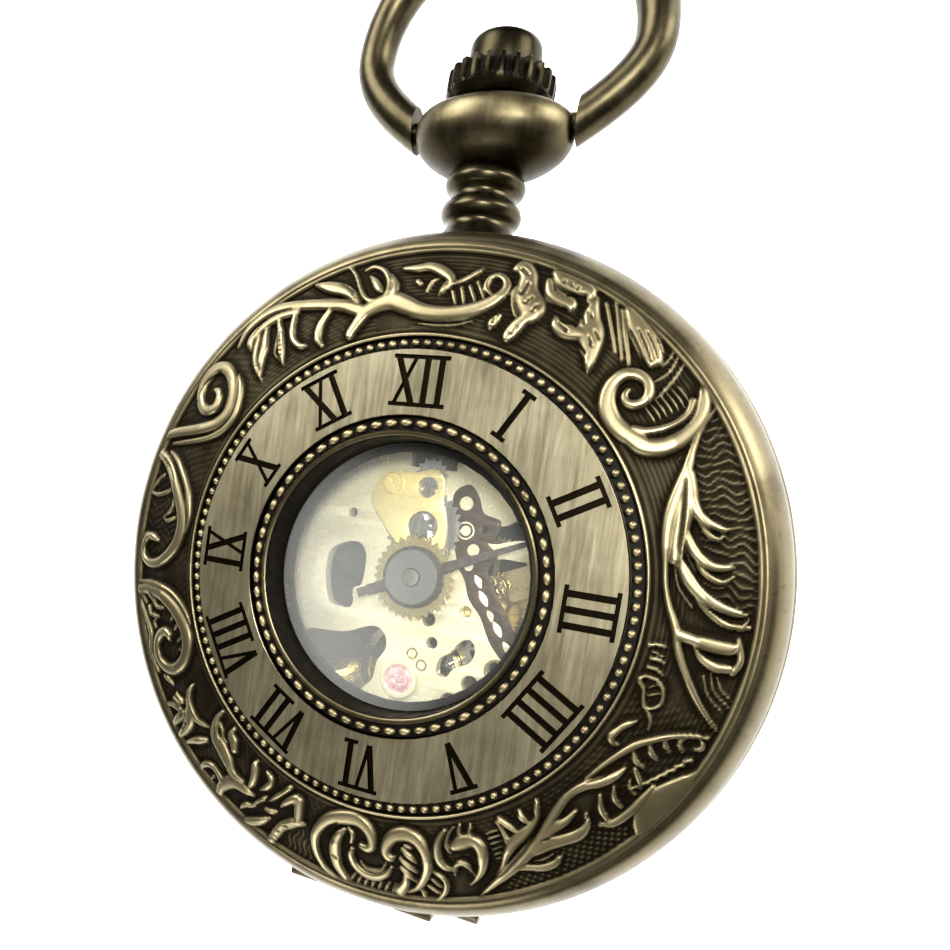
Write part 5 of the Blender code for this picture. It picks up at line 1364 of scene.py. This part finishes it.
def make_main_plate(finishes):
    openings = [
        ring_of(0, 0, 0.5),
        [(-1.7, 13.4), (-1.7, 7.7), (1.7, 7.7), (1.7, 13.4)],
        flowing([
            (-7, 0.8), (-6, 1.6), (-4.8, 1.8), (-4.1, 1), (-4.1, -1.1), (-4.7, -1.6), (-4.6, -2.7),
            (-5.1, -3.1), (-6.5, -2.8), (-7.1, -1),
        ]),
        flowing([
            (-5, -4.9), (-2.8, -4.05), (-1.8, -4.4), (-1.5, -5.4), (-2.0, -6.5), (-2.4, -8.2), (-4.6, -9.6),
            (-7.4, -7.8), (-8.2, -5.4),
        ]),
        flowing([
            (4.3, 4.6), (5.6, 4.4), (7.4, 5.5), (9.1, 5.6), (9.0, 3.9), (6.8, 3.6), (5.0, 3.1), (3.9, 3.5),
        ]),
        flowing([
            (4.4, 0.9), (5.4, 2.1), (7.4, 2.2), (9.2, 2.4), (9.4, -4.4), (8.2, -4.6), (7.2, -3.0),
            (6.3, -1.4), (5.2, -0.3),
        ]),
        flowing([
            (2.5, -6.4), (3.2, -6.6), (3.7, -5.9), (4.7, -5.3), (5.0, -4.4), (4.6, -3.7), (3.9, -3.9),
            (3.3, -4.8), (2.6, -5.4),
        ]),
    ]
    bores = [
        (3.9, -1.8, 0.42), (1.35, -2.8, 0.5), (1.85, -4.4, 0.42), (6.6, -5.4, 0.62), (5.0, -6.7, 0.6),
        (3.7, -8.2, 0.6), (-5.6, 3.9, 0.35), (-0.1, -7.4, 0.5),
    ]
    outlines = [ring_of(0, 0, 15.6, 96)] + openings + [ring_of(*bore) for bore in bores]
    flat_piece(
        "dial_side_plate", outlines, 6.6, PLATE_TOP, finishes["ivory_gilt"], replaces=("main_plate",)
    )


def make_minute_bridge(finishes):
    bridge = flowing([
        (-4.1, 5.0), (-3.9, 6.2), (-3.2, 7.0), (-2.2, 7.25), (-1, 7.3), (0.2, 7.65), (0.9, 7.3), (1.15, 6.5),
        (1.2, 5.5), (1.5, 4.6), (1.75, 3.4), (1.7, 2.2), (1.0, 1.5), (-0.5, 1.5), (-1.7, 2.2), (-2.9, 3.4),
    ])
    flat_piece(
        "minute_bridge_plate", [bridge, ring_of(-0.05, 6.35, 0.72), ring_of(0, 3.58, 1.1)], 8.0, 8.15,
        finishes["yellow_gilt"], 0.025, replaces=("minute_bridge",),
    )


def make_keyless_works(finishes):
    """The brown lever with its row of pierced flakes, and the spring above it."""
    works = flowing([
        (1.8, 6.2), (2.8, 6.9), (3.6, 6.1), (4.1, 5.1), (5.3, 4.7), (5.2, 3.7), (4.7, 3.1), (5.5, 2.3),
        (5.0, 1.2), (5.9, -0.3), (7.1, -2.0), (8.4, -4.5), (7.5, -5.0), (6.0, -3.7), (5.0, -2.0), (4.0, -0.9),
        (3.5, 0.3), (2.9, 1.2), (2.3, 2.8), (1.9, 4.5),
    ])
    flakes = []
    for x, y, k in FLAKES:
        corners = [(x - .30 * k, y + .5 * k), (x + .25, y + .2 * k), (x + .34 * k, y - .42), (x - .16, y - .05 * k)]
        flakes.append(flowing(corners, 4))
    bores = ((3.0, 3.75, 0.62), (3.75, 2.5, 0.42), (2.75, 5.6, 0.48), (4.3, 4.0, 0.3), (3.6, 1.35, 0.33))
    outlines = [works] + flakes + [ring_of(*bore) for bore in bores]
    flat_piece("keyless_works", outlines, 7.66, 7.74, finishes["brown"], 0.015)
    spring = flowing([
        (2.2, 8.2), (3.4, 7.4), (4.4, 6.2), (6.0, 5.9), (7.6, 5.7), (7.4, 6.3), (5.6, 6.6), (4.4, 7.2),
        (3.2, 8.4),
    ])
    flat_piece("setting_spring", [spring], 7.66, 7.9, finishes["ivory_gilt"], 0.04)


def turned_at(profile, x, y, steps=64):
    """A shape turned round an upright axis at (x, y)."""
    shape = turned_shape(profile, steps)
    bmesh.ops.translate(shape, verts=shape.verts, vec=(x * MM, y * MM, 0))
    return shape


def make_screw(finishes):
    x, y = SCREW_SPOT
    profile = [(0.0, 8.17), (0.74, 8.17), (0.74, 8.3), (0.68, 8.37), (0.6, 8.38), (0.56, 8.34), (0.0, 8.36)]
    screw = finish_piece(
        turned_at(profile, x, y), "bridge_screw_head", "case", [finishes["yellow_gilt"]],
        replaces=("minute_bridge_screw",),
    )
    slot = bmesh.new()
    new = add_block(slot, (-0.9, -0.09, 8.25), (0.9, 0.09, 8.6))
    turn = Matrix.Rotation(math.radians(SCREW_SLOT_TURN), 4, "Z")
    bmesh.ops.transform(slot, verts=new, matrix=Matrix.Translation((x * MM, y * MM, 0)) @ turn)
    cut_away(screw, slot)


def make_jewel(finishes):
    x, y = JEWEL_SPOT
    setting = [(1.02, 7.7), (1.02, 7.9), (1.12, 8.0), (1.34, 8.0), (1.45, 7.9), (1.45, 7.7)]
    finish_piece(turned_at(setting, x, y), "jewel_setting", "case", [finishes["ivory_gilt"]])
    stone = [
        (0.0, 8.0), (0.25, 7.98), (0.35, 7.9), (0.5, 7.97), (0.7, 7.95), (0.82, 7.84), (1.03, 7.84),
        (1.03, 7.72), (0.0, 7.72),
    ]
    finish_piece(
        turned_at(stone, x, y), "ruby_stone", "case", [finishes["jewel"]],
        replaces=("balance_jewel",),
    )


def make_dial_rings(finishes):
    """Small raised rings round the pivots."""
    for number, (x, y, radius, finish) in enumerate(DIAL_RINGS):
        profile = [
            (radius - 0.14, 7.68), (radius - 0.14, 7.76), (radius - 0.1, 7.8), (radius - 0.04, 7.8),
            (radius, 7.76), (radius, 7.68),
        ]
        shape = turned_at(profile, x, y, 40)
        finish_piece(shape, f"dial_side_ring_{number + 1}", "case", [finishes[finish]])


# ---------------------------------------------------------------- finishes on the movement
def finish_nodes(finishes):
    """Gives every CAD node the finish of its material slot, save a few that are made dark as painted shade."""
    by_slot = {
        "gilt": finishes["gilt"], "steel": finishes["steel"], "hands": finishes["hands"],
        "jewel": finishes["jewel"], "dial": finishes["enamel"], "glass": finishes["crystal"],
        "bronze": finishes["plain"], "dark_bronze": finishes["crown"],
    }
    # Painted shade: the window ring and the movement holder are made black, and the barrel and its cover dark, for
    # the shade they lie in.
    special = {
        "window_ring": finishes["black"], "movement_holder": finishes["black"],
        "barrel": finishes["shadow"], "barrel_cover": finishes["shadow"],
    }
    slots = {entry["node"]: entry["material_slot"] for entry in frame["record"]["subparts"]}
    for name, node in frame["nodes"].items():
        node.data.materials.clear()
        node.data.materials.append(special.get(name, by_slot[slots[name]]))


def make_finishes():
    fine = (500, 500, 500)
    return {
        "bronze": brushed_bronze("ring_brushed_bronze", 0.62),
        "plain": brushed_bronze("hinge_bronze", 0.5, (900, 200, 200)),
        # The pendant's bulb darkens towards its foot: painted shade.
        "pendant": brushed_bronze("pendant_bronze", 0.68, (1500, 120, 400), 0.38, (29.4, 31.2)),
        "neck": brushed_bronze("neck_bronze", 0.28, (400, 1500, 400), 0.3),
        "bow": brushed_bronze("bow_bronze", 0.32, (1400, 300, 1400)),
        "crown": brushed_bronze("crown_bronze", 0.15, fine),
        "bead": brushed_bronze("bead_bronze", 1.5, fine, 0.46),
        "embossed": embossed_bronze(),
        "chapter": chapter_bronze(),
        "black": patina_and_painted_shade(),
        "gilt": gilt_plate("gilt_plate", (0.80, 0.66, 0.33), (0.93, 0.82, 0.50), 1.0),
        "steel": polished_steel("polished_steel", (0.62, 0.61, 0.58), 0.22),
        # Painted shade: dark steel stands in for the shade on the barrel and its cover under the plate.
        "shadow": polished_steel("painted_shade_steel", (0.10, 0.10, 0.095), 0.4),
        "hands": lacquer("hand_lacquer", (0.045, 0.035, 0.032), (0.10, 0.085, 0.075), (0.17, 0.18, 0.175)),
        "brown": lacquer("brown_lacquer", (0.030, 0.016, 0.009), (0.085, 0.045, 0.022)),
        "ivory_gilt": gilt_plate("ivory_gilt", (0.96, 0.87, 0.60), (1.0, 0.95, 0.72), 0.4),
        "yellow_gilt": gilt_plate("yellow_gilt", (0.95, 0.79, 0.36), (1.0, 0.88, 0.48), 0.4),
        "jewel": ruby_jewel(),
        "enamel": enamel(),
        "window": clear_glass("window_glass_clear", [(0.08, 0.09), (0.40, 0.035), (0.54, 0.0)]),
        "crystal": clear_glass("crystal_clear", [(0.0, 0.0), (1.0, 0.0)]),
    }


def main():
    finishes = make_finishes()
    add_camera()
    add_room()
    for softbox in SOFTBOXES:
        add_softbox(*softbox)
    add_floor()
    for make in (
        make_lid, make_chapter_ring, make_window, make_band, make_back, make_hinge,
        make_main_plate, make_minute_bridge, make_keyless_works, make_screw, make_jewel, make_dial_rings,
        make_pendant, make_crown, make_bow, finish_nodes,
    ):
        make(finishes)


main()
